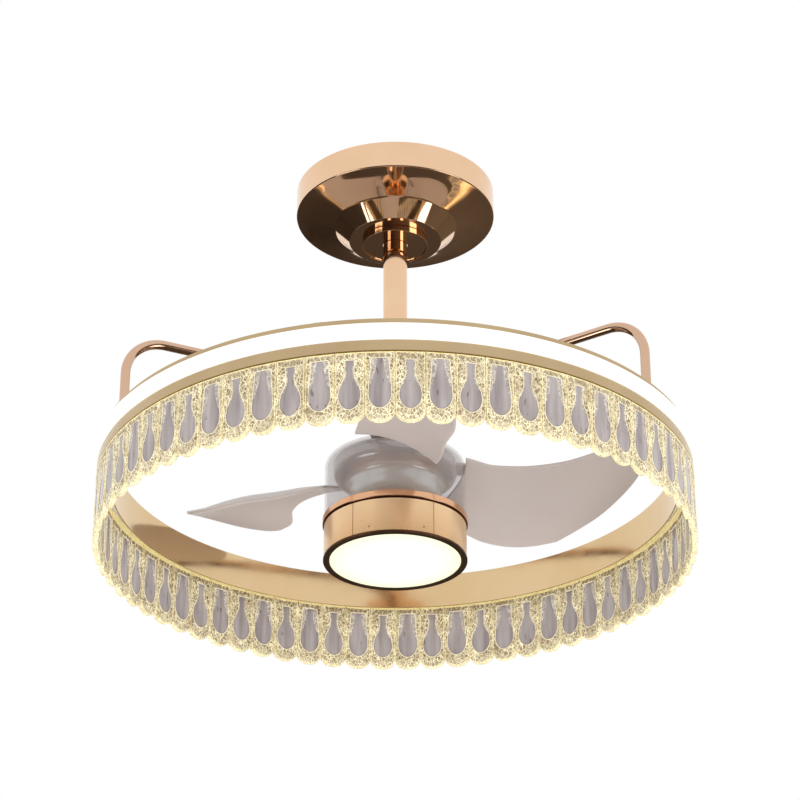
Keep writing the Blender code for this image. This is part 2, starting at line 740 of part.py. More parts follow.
def build_bearing(name, height, axis):
    """A shielded ball bearing, its shields sunk between its two races."""
    race = (bearing_radius - shaft_seat_radius) / 2 - bearing_shield_width
    half = bearing_height / 2
    outer_edge = bearing_radius - race
    inner_edge = shaft_seat_radius + race
    sunk = half - bearing_shield_depth
    outline = [(bearing_radius, half), (bearing_radius, -half), (outer_edge, -half), (outer_edge, -sunk),
               (inner_edge, -sunk), (inner_edge, -half), (shaft_seat_radius, -half),
               (shaft_seat_radius, half), (inner_edge, half), (inner_edge, sunk), (outer_edge, sunk),
               (outer_edge, half)]
    turned(name, [(radius, height + offset) for radius, offset in outline], steel, coarse_steps, axis=axis)


def slot_centres():
    middle = (stator_top + stator_bottom) / 2
    return [around(slot_circle, math.tau * number / slot_count, middle) for number in range(slot_count)]


def build_stator():
    """The laminated core, and the copper that passes through its slots from face to face."""
    core = turned("stator_core", tube_section(stator_radius, shaft_seat_radius, stator_top, stator_bottom),
                  zinc, coarse_steps)
    combine(core, "DIFFERENCE", "stator_slots",
            cylinder_mesh(slot_radius + seat_gap, stator_height + 2 * cut_overrun, small_steps,
                          slot_centres()))
    upper = stator_top + seat_gap
    lower = stator_bottom - seat_gap
    winding = turned("stator_winding", tube_section(winding_outer_radius, winding_inner_radius,
                                                    upper + winding_height, upper), copper, coarse_steps)
    lower_ring = cylinder_mesh(winding_outer_radius, winding_height, coarse_steps,
                               [(0.0, 0.0, lower - winding_height / 2)])
    through = cylinder_mesh(winding_inner_radius, winding_height + 2 * cut_overrun, coarse_steps,
                            [(0.0, 0.0, lower - winding_height / 2)])
    combine(winding, "UNION", "lower_coil_heads", lower_ring)
    combine(winding, "DIFFERENCE", "lower_coil_opening", through)
    span = upper - lower + winding_height
    combine(winding, "UNION", "slot_copper", cylinder_mesh(slot_radius, span, small_steps, slot_centres()))


def inset_outline(points, distance):
    """An outline read from the top down, moved inwards square to the line past each of its points."""
    moved = []
    for number, (radius, height) in enumerate(points):
        before = points[max(number - 1, 0)]
        after = points[min(number + 1, len(points) - 1)]
        across, up = after[0] - before[0], after[1] - before[1]
        share = distance / math.hypot(across, up)
        moved.append((radius + up * share, height - across * share))
    return moved


def build_rotor_housing(axis):
    """The lid and the bowl round the motor, each with a bearing seat, and the magnets in the bowl."""
    boss = bearing_boss_radius
    boss_top = upper_bearing_height + bearing_height / 2
    lid = turned("rotor_lid", [(boss, boss_top), (boss, lid_top), (lid_radius, lid_top),
                               (lid_radius, lid_bottom), (boss, lid_bottom), (boss, upper_boss_bottom),
                               (bearing_seat_radius, upper_boss_bottom), (bearing_seat_radius, boss_top)],
                 silver_paint, axis=axis)
    combine(lid, "DIFFERENCE", "lid_screw_holes",
            cylinder_mesh(blade_screw_radius + seat_gap, 2 * (lid_thickness + cut_overrun), small_steps,
                          blade_screw_places(lid_top)))
    outer = [(bowl_neck_radius + (lid_radius - bowl_neck_radius) * out, bowl_top - bowl_depth * down)
             for down, out in bowl_curve_shares]
    floor = bowl_bottom + bowl_sheet
    inner = [(radius, max(height, floor)) for radius, height in reversed(inset_outline(outer, bowl_sheet))]
    seat_top = lower_bearing_height + bearing_height / 2
    turned("motor_bowl", [(lid_radius, bowl_top), *outer, (bearing_seat_radius, bowl_bottom),
                          (bearing_seat_radius, seat_top), (boss, seat_top), (boss, floor),
                          *inner, (lid_radius - bowl_sheet, bowl_top)], silver_paint, axis=axis)
    magnet_top = (stator_top + stator_bottom + magnet_height) / 2
    turned("magnet_ring", tube_section(magnet_radius, magnet_radius - magnet_thickness, magnet_top,
                                       magnet_top - magnet_height), magnet_black, axis=axis)


def build_hub_shell(axis):
    """The moulded cup over the motor, open below, with a round shoulder."""
    shoulder = arc_points((hub_radius - hub_shoulder, hub_top - hub_shoulder), hub_shoulder, 90.0, 0.0,
                          shoulder_steps)
    shell = turned_shell("hub_shell", [(hub_opening_radius, hub_top), *shoulder, (hub_radius, hub_bottom)],
                         hub_wall, smoke_plastic, axis=axis)
    combine(shell, "DIFFERENCE", "shell_screw_holes",
            cylinder_mesh(blade_screw_radius + seat_gap, 2 * (hub_wall + cut_overrun), small_steps,
                          blade_screw_places(hub_top)))


def blade_azimuths():
    return [first_blade_azimuth + math.tau * number / blade_count for number in range(blade_count)]


def blade_screw_places(height):
    return [around(blade_screw_circle, azimuth + lug_azimuth, height) for azimuth in blade_azimuths()]


def blade_point(span, chord):
    """A point of the blade's middle surface, before it is turned to its own azimuth."""
    tip = blade_reach * curve_at(tip_reach_shares, chord)
    radius = blade_root_radius + (tip - blade_root_radius) * span
    lead = math.radians(curve_at(lead_azimuths, span))
    trail = math.radians(curve_at(trail_azimuths, span))
    lug_middle = hub_top + seat_gap + lug_thickness / 2
    lead_height = lug_middle + blade_lead_rise * curve_at(lead_height_shares, span)
    trail_height = hub_top - blade_trail_drop + blade_trail_rise * curve_at(trail_height_shares, span)
    camber = blade_root_camber + (blade_tip_camber - blade_root_camber) * span
    height = lead_height + (trail_height - lead_height) * chord + camber * math.sin(math.pi * chord)
    return around(radius, lead + (trail - lead) * chord, height)


def blade_mesh(azimuth):
    """A flat grid, each of whose points is carried to its place on the blade."""
    turn_to = Matrix.Rotation(azimuth, 4, "Z")

    def build(shape):
        bmesh.ops.create_grid(shape, x_segments=blade_span_steps, y_segments=blade_chord_steps, size=0.5)
        for vertex in shape.verts:
            vertex.co = turn_to @ blade_point(vertex.co.x + 0.5, vertex.co.y + 0.5)

    return mesh_from(build)


def build_blades(axis):
    """Each blade with the lug that carries it on the hub, and its screw down through the lid."""
    lug_bottom = hub_top + seat_gap
    lug_length = hub_radius + lug_overlap - lug_inner_radius
    lug_centre = (lug_inner_radius + lug_length / 2, 0.0, lug_bottom + lug_thickness / 2)
    grip = lug_bottom + lug_thickness + seat_gap - lid_bottom
    outline = screw_outline(blade_screw_radius, grip, blade_screw_head_radius, blade_screw_head)
    for number, azimuth in enumerate(blade_azimuths(), 1):
        blade = add_part(f"blade_{number}", blade_mesh(azimuth), smoke_plastic, axis)
        blade.data.shade_smooth()
        sheet = blade.modifiers.new("thickness", "SOLIDIFY")
        sheet.thickness = blade_thickness
        sheet.offset = 0.0
        facing = azimuth + lug_azimuth
        combine(blade, "UNION", f"blade_lug_{number}",
                box_mesh((lug_length, lug_width, lug_thickness), lug_centre, facing))
        place = around(blade_screw_circle, facing, lug_bottom)
        combine(blade, "DIFFERENCE", f"blade_hole_{number}",
                cylinder_mesh(blade_screw_radius + seat_gap, 2 * (lug_thickness + cut_overrun), small_steps,
                              [place]))
        seat = around(blade_screw_circle, facing, lug_bottom + lug_thickness + seat_gap)
        screw_part(f"blade_screw_{number}", outline, steel, seat, True, axis)


def build_downlight():
    """The flange on the shaft, the drum, its rim, the diffuser, the LED board and the nut."""
    skirt = flange_radius - flange_sheet
    web_bottom = flange_top - flange_sheet
    turned("lamp_flange", [(flange_radius - flange_edge, flange_top),
                           (flange_radius, flange_top - flange_edge), (flange_radius, flange_bottom),
                           (skirt, flange_bottom), (skirt, web_bottom),
                           (shaft_seat_radius, web_bottom), (shaft_seat_radius, flange_top)], rose_gold)
    spigot = skirt - seat_gap
    turned("lamp_drum", [(spigot, drum_top + drum_spigot), (spigot, drum_top), (drum_radius, drum_top),
                         (drum_radius, drum_bottom), (drum_inner_radius, drum_bottom),
                         (drum_inner_radius, drum_top + drum_spigot)], rose_gold)
    rim_spigot_radius = drum_inner_radius - seat_gap
    spigot_top = rim_top + rim_spigot
    turned("lamp_rim", [(rim_radius, rim_top), (rim_radius, rim_bottom + rim_edge),
                        (rim_radius - rim_edge, rim_bottom), (rim_inner_radius, rim_bottom),
                        (rim_inner_radius, spigot_top), (rim_spigot_radius, spigot_top),
                        (rim_spigot_radius, rim_top)], dark_bronze)
    face = rim_bottom - diffuser_proud
    disc("lamp_diffuser", rim_inner_radius - seat_gap, face + diffuser_thickness, face, white_acrylic)
    board_top = drum_top - led_board_depth
    disc("led_board", drum_inner_radius - seat_gap, board_top, board_top - led_board_thickness, circuit_white)
    centre = (0.0, 0.0, lamp_nut_top - lamp_nut_height / 2)
    nut = add_part("lamp_nut", cylinder_mesh(lamp_nut_radius, lamp_nut_height, nut_sides, [centre]), steel)
    combine(nut, "DIFFERENCE", "nut_bore",
            cylinder_mesh(shaft_seat_radius, lamp_nut_height + 2 * cut_overrun, coarse_steps, [centre]))


canopy_axis = axis_empty("canopy_axis")
rotor_axis = axis_empty("rotor_axis")
build_ceiling_plate()
build_hanger_bracket()
build_hanger_pin()
build_boxes()
build_canopy(canopy_axis)
build_downrod()
build_arm_hub()
build_arms()
build_ring_channel()
build_lighting()
build_drop_panels()
build_shaft()
build_stator()
build_bearing("upper_bearing", upper_bearing_height, rotor_axis)
build_bearing("lower_bearing", lower_bearing_height, rotor_axis)
build_rotor_housing(rotor_axis)
build_hub_shell(rotor_axis)
build_blades(rotor_axis)
build_downlight()
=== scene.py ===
import math

import bmesh
import bpy
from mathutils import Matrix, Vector


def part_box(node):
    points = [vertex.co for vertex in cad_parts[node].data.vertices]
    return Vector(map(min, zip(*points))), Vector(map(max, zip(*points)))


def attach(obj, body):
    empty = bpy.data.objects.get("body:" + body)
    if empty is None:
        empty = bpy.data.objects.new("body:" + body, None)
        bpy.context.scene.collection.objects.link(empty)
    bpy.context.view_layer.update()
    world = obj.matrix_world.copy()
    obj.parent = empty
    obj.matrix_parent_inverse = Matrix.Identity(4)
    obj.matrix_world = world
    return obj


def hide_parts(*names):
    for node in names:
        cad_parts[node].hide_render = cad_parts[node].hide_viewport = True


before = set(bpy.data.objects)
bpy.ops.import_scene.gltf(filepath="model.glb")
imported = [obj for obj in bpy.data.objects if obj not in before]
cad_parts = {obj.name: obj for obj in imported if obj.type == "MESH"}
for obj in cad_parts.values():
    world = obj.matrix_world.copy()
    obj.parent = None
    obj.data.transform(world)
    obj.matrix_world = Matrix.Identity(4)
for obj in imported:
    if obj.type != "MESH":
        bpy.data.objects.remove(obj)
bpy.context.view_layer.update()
mm = 0.001
print("frame loaded:", len(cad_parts), "nodes")


# Small helpers for modelling as by hand

def takeUp(obj):
    # Only this object is selected, and it is the active one
    bpy.ops.object.select_all(action="DESELECT")
    obj.select_set(True)
    bpy.context.view_layer.objects.active = obj


def fresh(name):
    # The primitive that was just added, with its place put into its mesh
    obj = bpy.context.object
    obj.name = name
    obj.data.name = name
    bpy.ops.object.transform_apply(location=True, rotation=True, scale=True)
    return obj


def editing(obj):
    takeUp(obj)
    bpy.ops.object.mode_set(mode="EDIT")
    bpy.ops.mesh.select_mode(type="VERT")


def doneEditing():
    bpy.ops.object.mode_set(mode="OBJECT")


def closeUp(obj, distance=0.002 * mm):
    # Doubles merged and faces turned outwards
    editing(obj)
    bpy.ops.mesh.select_all(action="SELECT")
    bpy.ops.mesh.remove_doubles(threshold=distance)
    bpy.ops.mesh.normals_make_consistent(inside=False)
    doneEditing()


def applied(obj, kind, **settings):
    modifier = obj.modifiers.new(kind.lower(), kind)
    for key, value in settings.items():
        setattr(modifier, key, value)
    takeUp(obj)
    bpy.ops.object.modifier_apply(modifier=modifier.name)


def rounded(obj, width, segments=3, angle=30):
    applied(obj, "BEVEL", width=width, segments=segments, limit_method="ANGLE",
            angle_limit=math.radians(angle))


def smooth(obj, angle=32):
    # Flat faces keep their own normals, so that a wide wall doesn't shade towards its bevels
    takeUp(obj)
    bpy.ops.object.shade_smooth_by_angle(angle=math.radians(angle))
    applied(obj, "WEIGHTED_NORMAL", mode="FACE_AREA", weight=50, keep_sharp=True)


def lathe(name, stations, sides=192):
    # A ring of edges at the first station, extruded down and resized to each one that follows
    radius, height = stations[0]
    bpy.ops.mesh.primitive_circle_add(vertices=sides, radius=radius, location=(0, 0, height))
    obj = fresh(name)
    editing(obj)
    bpy.ops.mesh.select_all(action="SELECT")
    for nextRadius, nextHeight in stations[1:]:
        bpy.ops.mesh.extrude_edges_move(TRANSFORM_OT_translate={"value": (0, 0, nextHeight - height)})
        scale = nextRadius / radius
        bpy.ops.transform.resize(value=(scale, scale, 1), center_override=(0, 0, nextHeight))
        radius, height = nextRadius, nextHeight
    doneEditing()
    closeUp(obj)
    return obj


def tubeStations(outer, inner, top, bottom):
    return [(outer, top), (outer, bottom), (inner, bottom), (inner, top), (outer, top)]


def arcStations(centre, radius, start, end, steps):
    # Degrees from +X, in the plane of radius and height
    angles = [math.radians(start + (end - start) * i / steps) for i in range(steps + 1)]
    return [(centre[0] + radius * math.cos(a), centre[1] + radius * math.sin(a)) for a in angles]


def readCurve(table, share):
    # A smooth curve through a table of (share, value) pairs
    slopes = [(b[1] - a[1]) / (b[0] - a[0]) for a, b in zip(table, table[1:])]
    tangents = [slopes[0]] + [(a + b) / 2 for a, b in zip(slopes, slopes[1:])] + [slopes[-1]]
    for i, ((x0, y0), (x1, y1)) in enumerate(zip(table, table[1:])):
        if share <= x1 or i == len(slopes) - 1:
            width = x1 - x0
            t = (share - x0) / width
            blend = t * t * (3 - 2 * t)
            bend = tangents[i] * (1 - t) ** 2 * t - tangents[i + 1] * t * t * (1 - t)
            return y0 + (y1 - y0) * blend + width * bend


def extent(node):
    # A turned node's outer radius, top and bottom
    low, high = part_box(node)
    return high.x, high.z, low.z


def turnedCopy(obj, name, azimuth):
    # A copy with its own mesh, turned about the rod's axis
    takeUp(obj)
    bpy.ops.object.duplicate()
    copy = bpy.context.object
    copy.name = name
    copy.data.name = name
    copy.rotation_euler = (0, 0, azimuth)
    bpy.ops.object.transform_apply(location=True, rotation=True, scale=True)
    return copy


def joined(objects, name):
    bpy.ops.object.select_all(action="DESELECT")
    for obj in objects:
        obj.select_set(True)
    bpy.context.view_layer.objects.active = objects[0]
    bpy.ops.object.join()
    objects[0].name = name
    objects[0].data.name = name
    return objects[0]


def dress(obj, *materials):
    obj.data.materials.clear()
    for material in materials:
        obj.data.materials.append(material)


def install(obj, body, slot, *nodes):
    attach(obj, body)
    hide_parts(*nodes)


def fitted(obj, material, body, slot, node, angle=32):
    # The last steps of a piece in one material
    smooth(obj, angle)
    dress(obj, material)
    install(obj, body, slot, node)


# Materials

class Finish:
    # A Principled material whose textures read Object coordinates
    def __init__(self, name, base, roughness, metallic=0.0, **sockets):
        self.material = bpy.data.materials.new(name)
        self.material.use_nodes = True
        self.nodes = self.material.node_tree.nodes
        self.links = self.material.node_tree.links
        self.shader = self.nodes["Principled BSDF"]
        self.base = base
        self.shader.inputs["Base Color"].default_value = (*base, 1)
        self.shader.inputs["Roughness"].default_value = roughness
        self.shader.inputs["Metallic"].default_value = metallic
        for socket, value in sockets.items():
            self.shader.inputs[socket.replace("_", " ")].default_value = value
        self.place = self.add("ShaderNodeTexCoord").outputs["Object"]

    def add(self, kind, inputs=None, **settings):
        node = self.nodes.new(kind)
        for key, value in settings.items():
            setattr(node, key, value)
        for key, value in (inputs or {}).items():
            if isinstance(value, bpy.types.NodeSocket):
                self.links.new(value, node.inputs[key])
            else:
                node.inputs[key].default_value = value
        return node

    def link(self, output, socket):
        self.links.new(output, self.shader.inputs[socket])

    def along(self, axis):
        return self.add("ShaderNodeSeparateXYZ", {0: self.place}).outputs[axis]

    def stretched(self, scale):
        return self.add("ShaderNodeMapping", {"Vector": self.place, "Scale": scale}).outputs["Vector"]

    def fromAxis(self):
        # Distance from the rod's axis
        flat = self.stretched((1, 1, 0))
        return self.add("ShaderNodeVectorMath", {0: flat}, operation="LENGTH").outputs["Value"]

    def noise(self, scale, detail=3.0, stretch=None):
        vector = self.stretched(stretch) if stretch else self.place
        node = self.add("ShaderNodeTexNoise", {"Vector": vector, "Scale": scale, "Detail": detail})
        return node.outputs["Fac"]

    def ranged(self, value, low, high, fromLow=0.3, fromHigh=0.7):
        node = self.add("ShaderNodeMapRange", {"Value": value, "From Min": fromLow,
                                               "From Max": fromHigh, "To Min": low, "To Max": high})
        return node.outputs["Result"]

    def mixed(self, factor, first, second):
        ends = [v if isinstance(v, bpy.types.NodeSocket) else (*v, 1) for v in (first, second)]
        node = self.add("ShaderNodeMix", {0: factor, 6: ends[0], 7: ends[1]}, data_type="RGBA")
        return node.outputs[2]

    def varyRoughness(self, scale, low, high, stretch=None):
        self.link(self.ranged(self.noise(scale, 4.0, stretch), low, high), "Roughness")

    def varyColour(self, scale, other):
        factor = self.ranged(self.noise(scale), 0.0, 1.0)
        self.link(self.mixed(factor, self.base, other), "Base Color")

    def varyGlow(self, scale, first, second):
        factor = self.ranged(self.noise(scale), 0.0, 1.0)
        self.link(self.mixed(factor, first, second), "Emission Color")

    def relief(self, height, strength, distance):
        node = self.add("ShaderNodeBump", {"Height": height, "Strength": strength, "Distance": distance})
        self.link(node.outputs["Normal"], "Normal")

    def grain(self, scale, strength, distance=0.1 * mm, stretch=None):
        self.relief(self.noise(scale, 5.0, stretch), strength, distance)

    def glowSoftly(self):
        # A glow this small needs no light samples of its own
        self.material.cycles.emission_sampling = "NONE"


def polishedRoseGold(name="roseGold", base=(0.84, 0.57, 0.37), deeper=(0.80, 0.53, 0.33),
                     low=0.045, high=0.085):
    gold = Finish(name, base, 0.06, 1.0)
    gold.varyColour(22, deeper)
    gold.varyRoughness(60, low, high)
    gold.grain(900, 0.04, 0.02 * mm)
    return gold.material


def satinPaleGold():
    gold = Finish("paleGoldSatin", (0.56, 0.42, 0.245), 0.24, 1.0)
    gold.varyColour(18, (0.50, 0.365, 0.205))
    gold.varyRoughness(120, 0.18, 0.28, (1, 1, 6))
    gold.grain(700, 0.05, 0.03 * mm, (1, 1, 8))
    return gold.material


def mirrorPaleGold():
    gold = Finish("paleGoldMirror", (0.74, 0.54, 0.31), 0.06, 1.0)
    gold.varyColour(14, (0.70, 0.50, 0.27))
    gold.varyRoughness(45, 0.08, 0.14)
    gold.grain(40, 0.03, 0.3 * mm)
    return gold.material


def brushedLampGold():
    # Soft enough that the blades and the ring blur in it
    gold = Finish("lampGold", (0.90, 0.635, 0.38), 0.26, 0.85)
    gold.varyColour(30, (0.86, 0.59, 0.345))
    gold.varyRoughness(12, 0.23, 0.3)
    return gold.material


def darkBronze():
    bronze = Finish("darkBronze", (0.085, 0.045, 0.025), 0.22, 0.8)
    bronze.varyColour(60, (0.13, 0.07, 0.04))
    bronze.varyRoughness(90, 0.12, 0.25)
    return bronze.material


def zincPlate():
    zinc = Finish("zincPlate", (0.58, 0.58, 0.56), 0.38, 1.0)
    zinc.varyColour(140, (0.50, 0.51, 0.51))
    zinc.varyRoughness(220, 0.28, 0.48)
    zinc.grain(500, 0.08)
    return zinc.material


def machinedSteel():
    steel = Finish("machinedSteel", (0.55, 0.55, 0.56), 0.28, 1.0)
    steel.varyColour(90, (0.48, 0.48, 0.49))
    steel.varyRoughness(150, 0.2, 0.36, (1, 1, 12))
    steel.grain(900, 0.08, stretch=(1, 1, 20))
    return steel.material


def laminatedIron():
    iron = Finish("laminatedIron", (0.35, 0.35, 0.36), 0.4, 1.0)
    layers = iron.add("ShaderNodeTexWave", {"Vector": iron.place, "Scale": 600, "Distortion": 0.4},
                      bands_direction="Z")
    iron.relief(layers.outputs["Fac"], 0.4, 0.1 * mm)
    iron.varyRoughness(200, 0.32, 0.5)
    return iron.material


def woundCopper():
    copper = Finish("woundCopper", (0.72, 0.30, 0.13), 0.3, 1.0)
    strands = copper.add("ShaderNodeTexWave", {"Vector": copper.place, "Scale": 320, "Distortion": 1.5},
                         wave_type="RINGS", rings_direction="Z")
    copper.relief(strands.outputs["Fac"], 0.6, 0.3 * mm)
    copper.varyColour(250, (0.55, 0.2, 0.08))
    return copper.material


def dullMagnet():
    magnet = Finish("dullMagnet", (0.05, 0.05, 0.055), 0.55)
    magnet.varyColour(200, (0.08, 0.08, 0.085))
    magnet.varyRoughness(260, 0.45, 0.65)
    magnet.grain(700, 0.15)
    return magnet.material


def satinSilver():
    # Bright on the neck, with painted shade under the wide rim, and less metallic and so paler at the
    # lower edge
    silver = Finish("satinSilver", (0.84, 0.87, 0.86), 0.22, Coat_Weight=0.1)
    # Painted shade: the base colour turns darker beyond the neck, under the wide rim
    under = silver.ranged(silver.fromAxis(), 0.0, 1.0, 40 * mm, 44 * mm)
    silver.link(silver.mixed(under, (0.94, 0.96, 0.95), (0.62, 0.61, 0.61)), "Base Color")
    silver.link(silver.ranged(silver.along("Z"), 0.2, 0.6, -311 * mm, -300 * mm), "Metallic")
    silver.varyRoughness(20, 0.2, 0.26)
    return silver.material


def smokeHub():
    # A thin smoky film, so what is inside stays in clear sight
    hub = Finish("smokeHub", (0.42, 0.36, 0.345), 0.1, Alpha=0.24, Specular_IOR_Level=0.5,
                 Coat_Weight=0.15, Coat_Roughness=0.06)
    hub.varyColour(25, (0.39, 0.335, 0.32))
    hub.varyRoughness(30, 0.08, 0.13)
    return hub.material


def smokeBlade():
    # Smoky and matt, with daylight let through from the far side
    blade = Finish("smokeBlade", (0.54, 0.475, 0.45), 0.38, Subsurface_Weight=0.5,
                   Subsurface_Radius=(1.0, 0.92, 0.85), Subsurface_Scale=2.5 * mm)
    blade.varyColour(9, (0.51, 0.445, 0.415))
    blade.varyRoughness(10, 0.34, 0.42)
    return blade.material


def opalBand():
    opal = Finish("opalBand", (0.52, 0.52, 0.50), 0.35, Emission_Strength=0.62)
    opal.varyGlow(12, (1.0, 0.99, 0.96), (1.0, 0.97, 0.91))
    opal.varyRoughness(80, 0.3, 0.42)
    return opal.material


def opalDiffuser():
    opal = Finish("opalDiffuser", (0.5, 0.5, 0.42), 0.4, Emission_Strength=0.64)
    edge = opal.ranged(opal.fromAxis(), 0.0, 1.0, 34 * mm, 54 * mm)
    opal.link(opal.mixed(edge, (1.0, 1.0, 0.9), (0.88, 0.88, 0.5)), "Emission Color")
    opal.varyRoughness(90, 0.35, 0.45)
    return opal.material


wander = 2.6 * mm


def crackled(name, cell, shade, line, glow, cellSize, lineShare, wedge, specks):
    # Fine bright lines over darker cells of etched acrylic, a little paler near its tip
    net = Finish(name, cell, 0.3, Emission_Strength=glow)
    drift = net.add("ShaderNodeTexNoise", {"Vector": net.place, "Scale": 300, "Detail": 2.0})
    bent = net.add("ShaderNodeVectorMath", {0: drift.outputs["Color"], 1: (wander, wander, wander)},
                   operation="MULTIPLY")
    moved = net.add("ShaderNodeVectorMath", {0: net.stretched((1, 1, wedge)),
                                             1: bent.outputs["Vector"]}, operation="ADD")
    cells = net.add("ShaderNodeTexVoronoi", {"Vector": moved.outputs["Vector"], "Scale": 1 / cellSize},
                    feature="DISTANCE_TO_EDGE")
    tone = net.add("ShaderNodeTexVoronoi", {"Vector": moved.outputs["Vector"], "Scale": 1 / cellSize})
    drawn = net.ranged(cells.outputs["Distance"], 1.0, 0.0, lineShare * 0.4, lineShare)
    patchy = net.ranged(net.noise(90, 4.0), 0.25, 1.0)
    lit = net.add("ShaderNodeMath", {0: drawn, 1: patchy}, operation="MULTIPLY").outputs["Value"]
    speck = net.ranged(net.noise(420, 1.0), 0.0, specks, 0.58, 0.65)
    pale = net.ranged(tone.outputs["Color"], 0.0, 1.0, 0.25, 0.8)
    body = net.mixed(speck, net.mixed(pale, cell, shade), (0.17, 0.10, 0.04))
    nearTip = net.ranged(net.along("Z"), 0.2, 0.0, -356 * mm, -344 * mm)
    net.link(net.mixed(nearTip, net.mixed(lit, body, line), line), "Base Color")
    net.link(net.mixed(nearTip, net.mixed(lit, (0.05, 0.04, 0.012), line), line), "Emission Color")
    net.relief(drawn, 0.5, 0.25 * mm)
    net.varyRoughness(300, 0.2, 0.45)
    net.glowSoftly()
    return net.material


def etchedNet():
    return crackled("etchedNet", (0.33, 0.235, 0.13), (0.64, 0.53, 0.35), (1.0, 0.92, 0.61), 0.37,
                    2.5 * mm, 0.11, 0.75, 0.75)


def frostedFringe():
    return crackled("frostedFringe", (0.39, 0.335, 0.31), (0.50, 0.44, 0.39), (0.82, 0.77, 0.64), 0.2,
                    2.6 * mm, 0.11, 0.6, 0.35)


def brightEdge():
    return crackled("brightEdge", (0.64, 0.51, 0.28), (0.84, 0.74, 0.46), (1.0, 0.92, 0.6), 0.36,
                    2.0 * mm, 0.13, 0.5, 0.6)


def smokyWindow():
    # Grey acrylic with soft upright streaks and a few thin dark dashes
    window = Finish("smokyWindow", (0.43, 0.38, 0.395), 0.07, Coat_Weight=0.3, Coat_Roughness=0.03,
                    Transmission_Weight=0.1, IOR=1.3)
    streak = window.ranged(window.noise(150, 3.0, (1, 1, 0.12)), 0.0, 1.0, 0.34, 0.66)
    dash = window.ranged(window.noise(420, 0.0, (1, 1, 0.25)), 0.0, 0.6, 0.775, 0.79)
    glass = window.mixed(streak, (0.325, 0.275, 0.275), (0.52, 0.465, 0.45))
    window.link(window.mixed(dash, glass, (0.13, 0.075, 0.04)), "Base Color")
    window.varyRoughness(90, 0.05, 0.12)
    window.grain(110, 0.12, 0.4 * mm, (1, 1, 0.5))
    return window.material


def brightRidge():
    ridge = Finish("brightRidge", (0.76, 0.70, 0.50), 0.25, Emission_Strength=0.48)
    ridge.varyColour(260, (0.54, 0.46, 0.29))
    ridge.varyGlow(160, (1.0, 0.96, 0.75), (0.5, 0.43, 0.24))
    ridge.varyRoughness(200, 0.2, 0.35)
    ridge.glowSoftly()
    return ridge.material


def oliveDimple():
    # The faint glow is painted light, which lifts the dimples of the far row out of their shade
    dimple = Finish("oliveDimple", (0.24, 0.17, 0.09), 0.15, Coat_Weight=0.5, Emission_Strength=0.07,
                    Emission_Color=(0.8, 0.6, 0.3, 1))
    dimple.varyColour(400, (0.46, 0.38, 0.24))
    dimple.varyRoughness(300, 0.1, 0.25)
    dimple.glowSoftly()
    return dimple.material


def glowingTop():
    # The acrylic's upper edge, where the strip over it shines in
    top = Finish("glowingTop", (0.80, 0.68, 0.34), 0.3, Emission_Strength=0.5)
    top.varyColour(320, (0.62, 0.48, 0.20))
    top.varyGlow(380, (1.0, 0.90, 0.46), (0.62, 0.48, 0.18))
    top.varyRoughness(200, 0.25, 0.4)
    top.glowSoftly()
    return top.material


def whiteBoard():
    board = Finish("whiteBoard", (0.84, 0.85, 0.83), 0.4)
    chips = board.add("ShaderNodeTexVoronoi", {"Vector": board.place, "Scale": 160},
                      distance="CHEBYCHEV")
    spot = board.ranged(chips.outputs["Distance"], 1.0, 0.0, 0.18, 0.22)
    board.link(board.mixed(spot, board.base, (0.95, 0.85, 0.35)), "Base Color")
    board.varyRoughness(200, 0.34, 0.5)
    return board.material


def mouldedBox():
    plastic = Finish("mouldedBox", (0.78, 0.78, 0.76), 0.45)
    plastic.varyColour(60, (0.72, 0.72, 0.70))
    plastic.varyRoughness(260, 0.4, 0.55)
    plastic.grain(900, 0.15, 0.05 * mm)
    return plastic.material


roseGold = polishedRoseGold()
lampGold = brushedLampGold()
# A darker copy of the rod's rose gold for the arms: painted shade, since the finish itself is the same
shadedArmGold = polishedRoseGold("shadedArmGold", (0.68, 0.46, 0.32), (0.63, 0.41, 0.28), 0.06, 0.1)
flangeGold = polishedRoseGold("flangeGold", (0.78, 0.45, 0.27), (0.74, 0.41, 0.23), 0.12, 0.2)
paleGold = satinPaleGold()
mirrorGold = mirrorPaleGold()
bronze = darkBronze()
silver = satinSilver()
smokedHub = smokeHub()
smokedBlade = smokeBlade()
opalWhite = opalBand()
opalDisc = opalDiffuser()
dropFinishes = (smokyWindow(), brightRidge(), etchedNet(), brightEdge(), oliveDimple(), frostedFringe(),
                glowingTop())
windowSlot, ridgeSlot, netSlot, edgeSlot, dimpleSlot, fringeSlot, topSlot = range(len(dropFinishes))
print("materials made")


# Canopy cover and collar

canopy = {"wall": 24.8 * mm, "edge": 1.2 * mm, "dishRadius": 52.7 * mm, "dishDrop": 10.0 * mm,
          "coneRadius": 40.4 * mm, "sheet": 1.0 * mm, "hole": 15.5 * mm, "bevel": 0.25 * mm,
          "dishSteps": 14, "dishDrops": ((0.0, 0.0), (0.25, 0.16), (0.6, 0.5), (1.0, 1.0))}


def modelCanopy():
    radius, top, bottom = extent("canopy_cover")
    rim = radius - canopy["edge"]
    lower = top - canopy["wall"]
    bead = arcStations((rim, lower + canopy["edge"]), canopy["edge"], 0, -90, 5)
    dish = [(rim + (canopy["dishRadius"] - rim) * i / canopy["dishSteps"],
             lower - canopy["dishDrop"] * readCurve(canopy["dishDrops"], i / canopy["dishSteps"]))
            for i in range(1, canopy["dishSteps"] + 1)]
    cover = lathe("canopyCover", [(radius, top), *bead, *dish, (canopy["coneRadius"], bottom),
                                  (canopy["hole"], bottom)])
    applied(cover, "SOLIDIFY", thickness=canopy["sheet"], offset=-1.0, use_even_offset=True)
    rounded(cover, canopy["bevel"], segments=2, angle=28)
    fitted(cover, roseGold, "canopy", "rose_gold", "canopy_cover", angle=40)


collar = {"rim": 1.0 * mm, "recess": 1.2 * mm, "bore": 10.9 * mm, "bevel": 0.22 * mm}


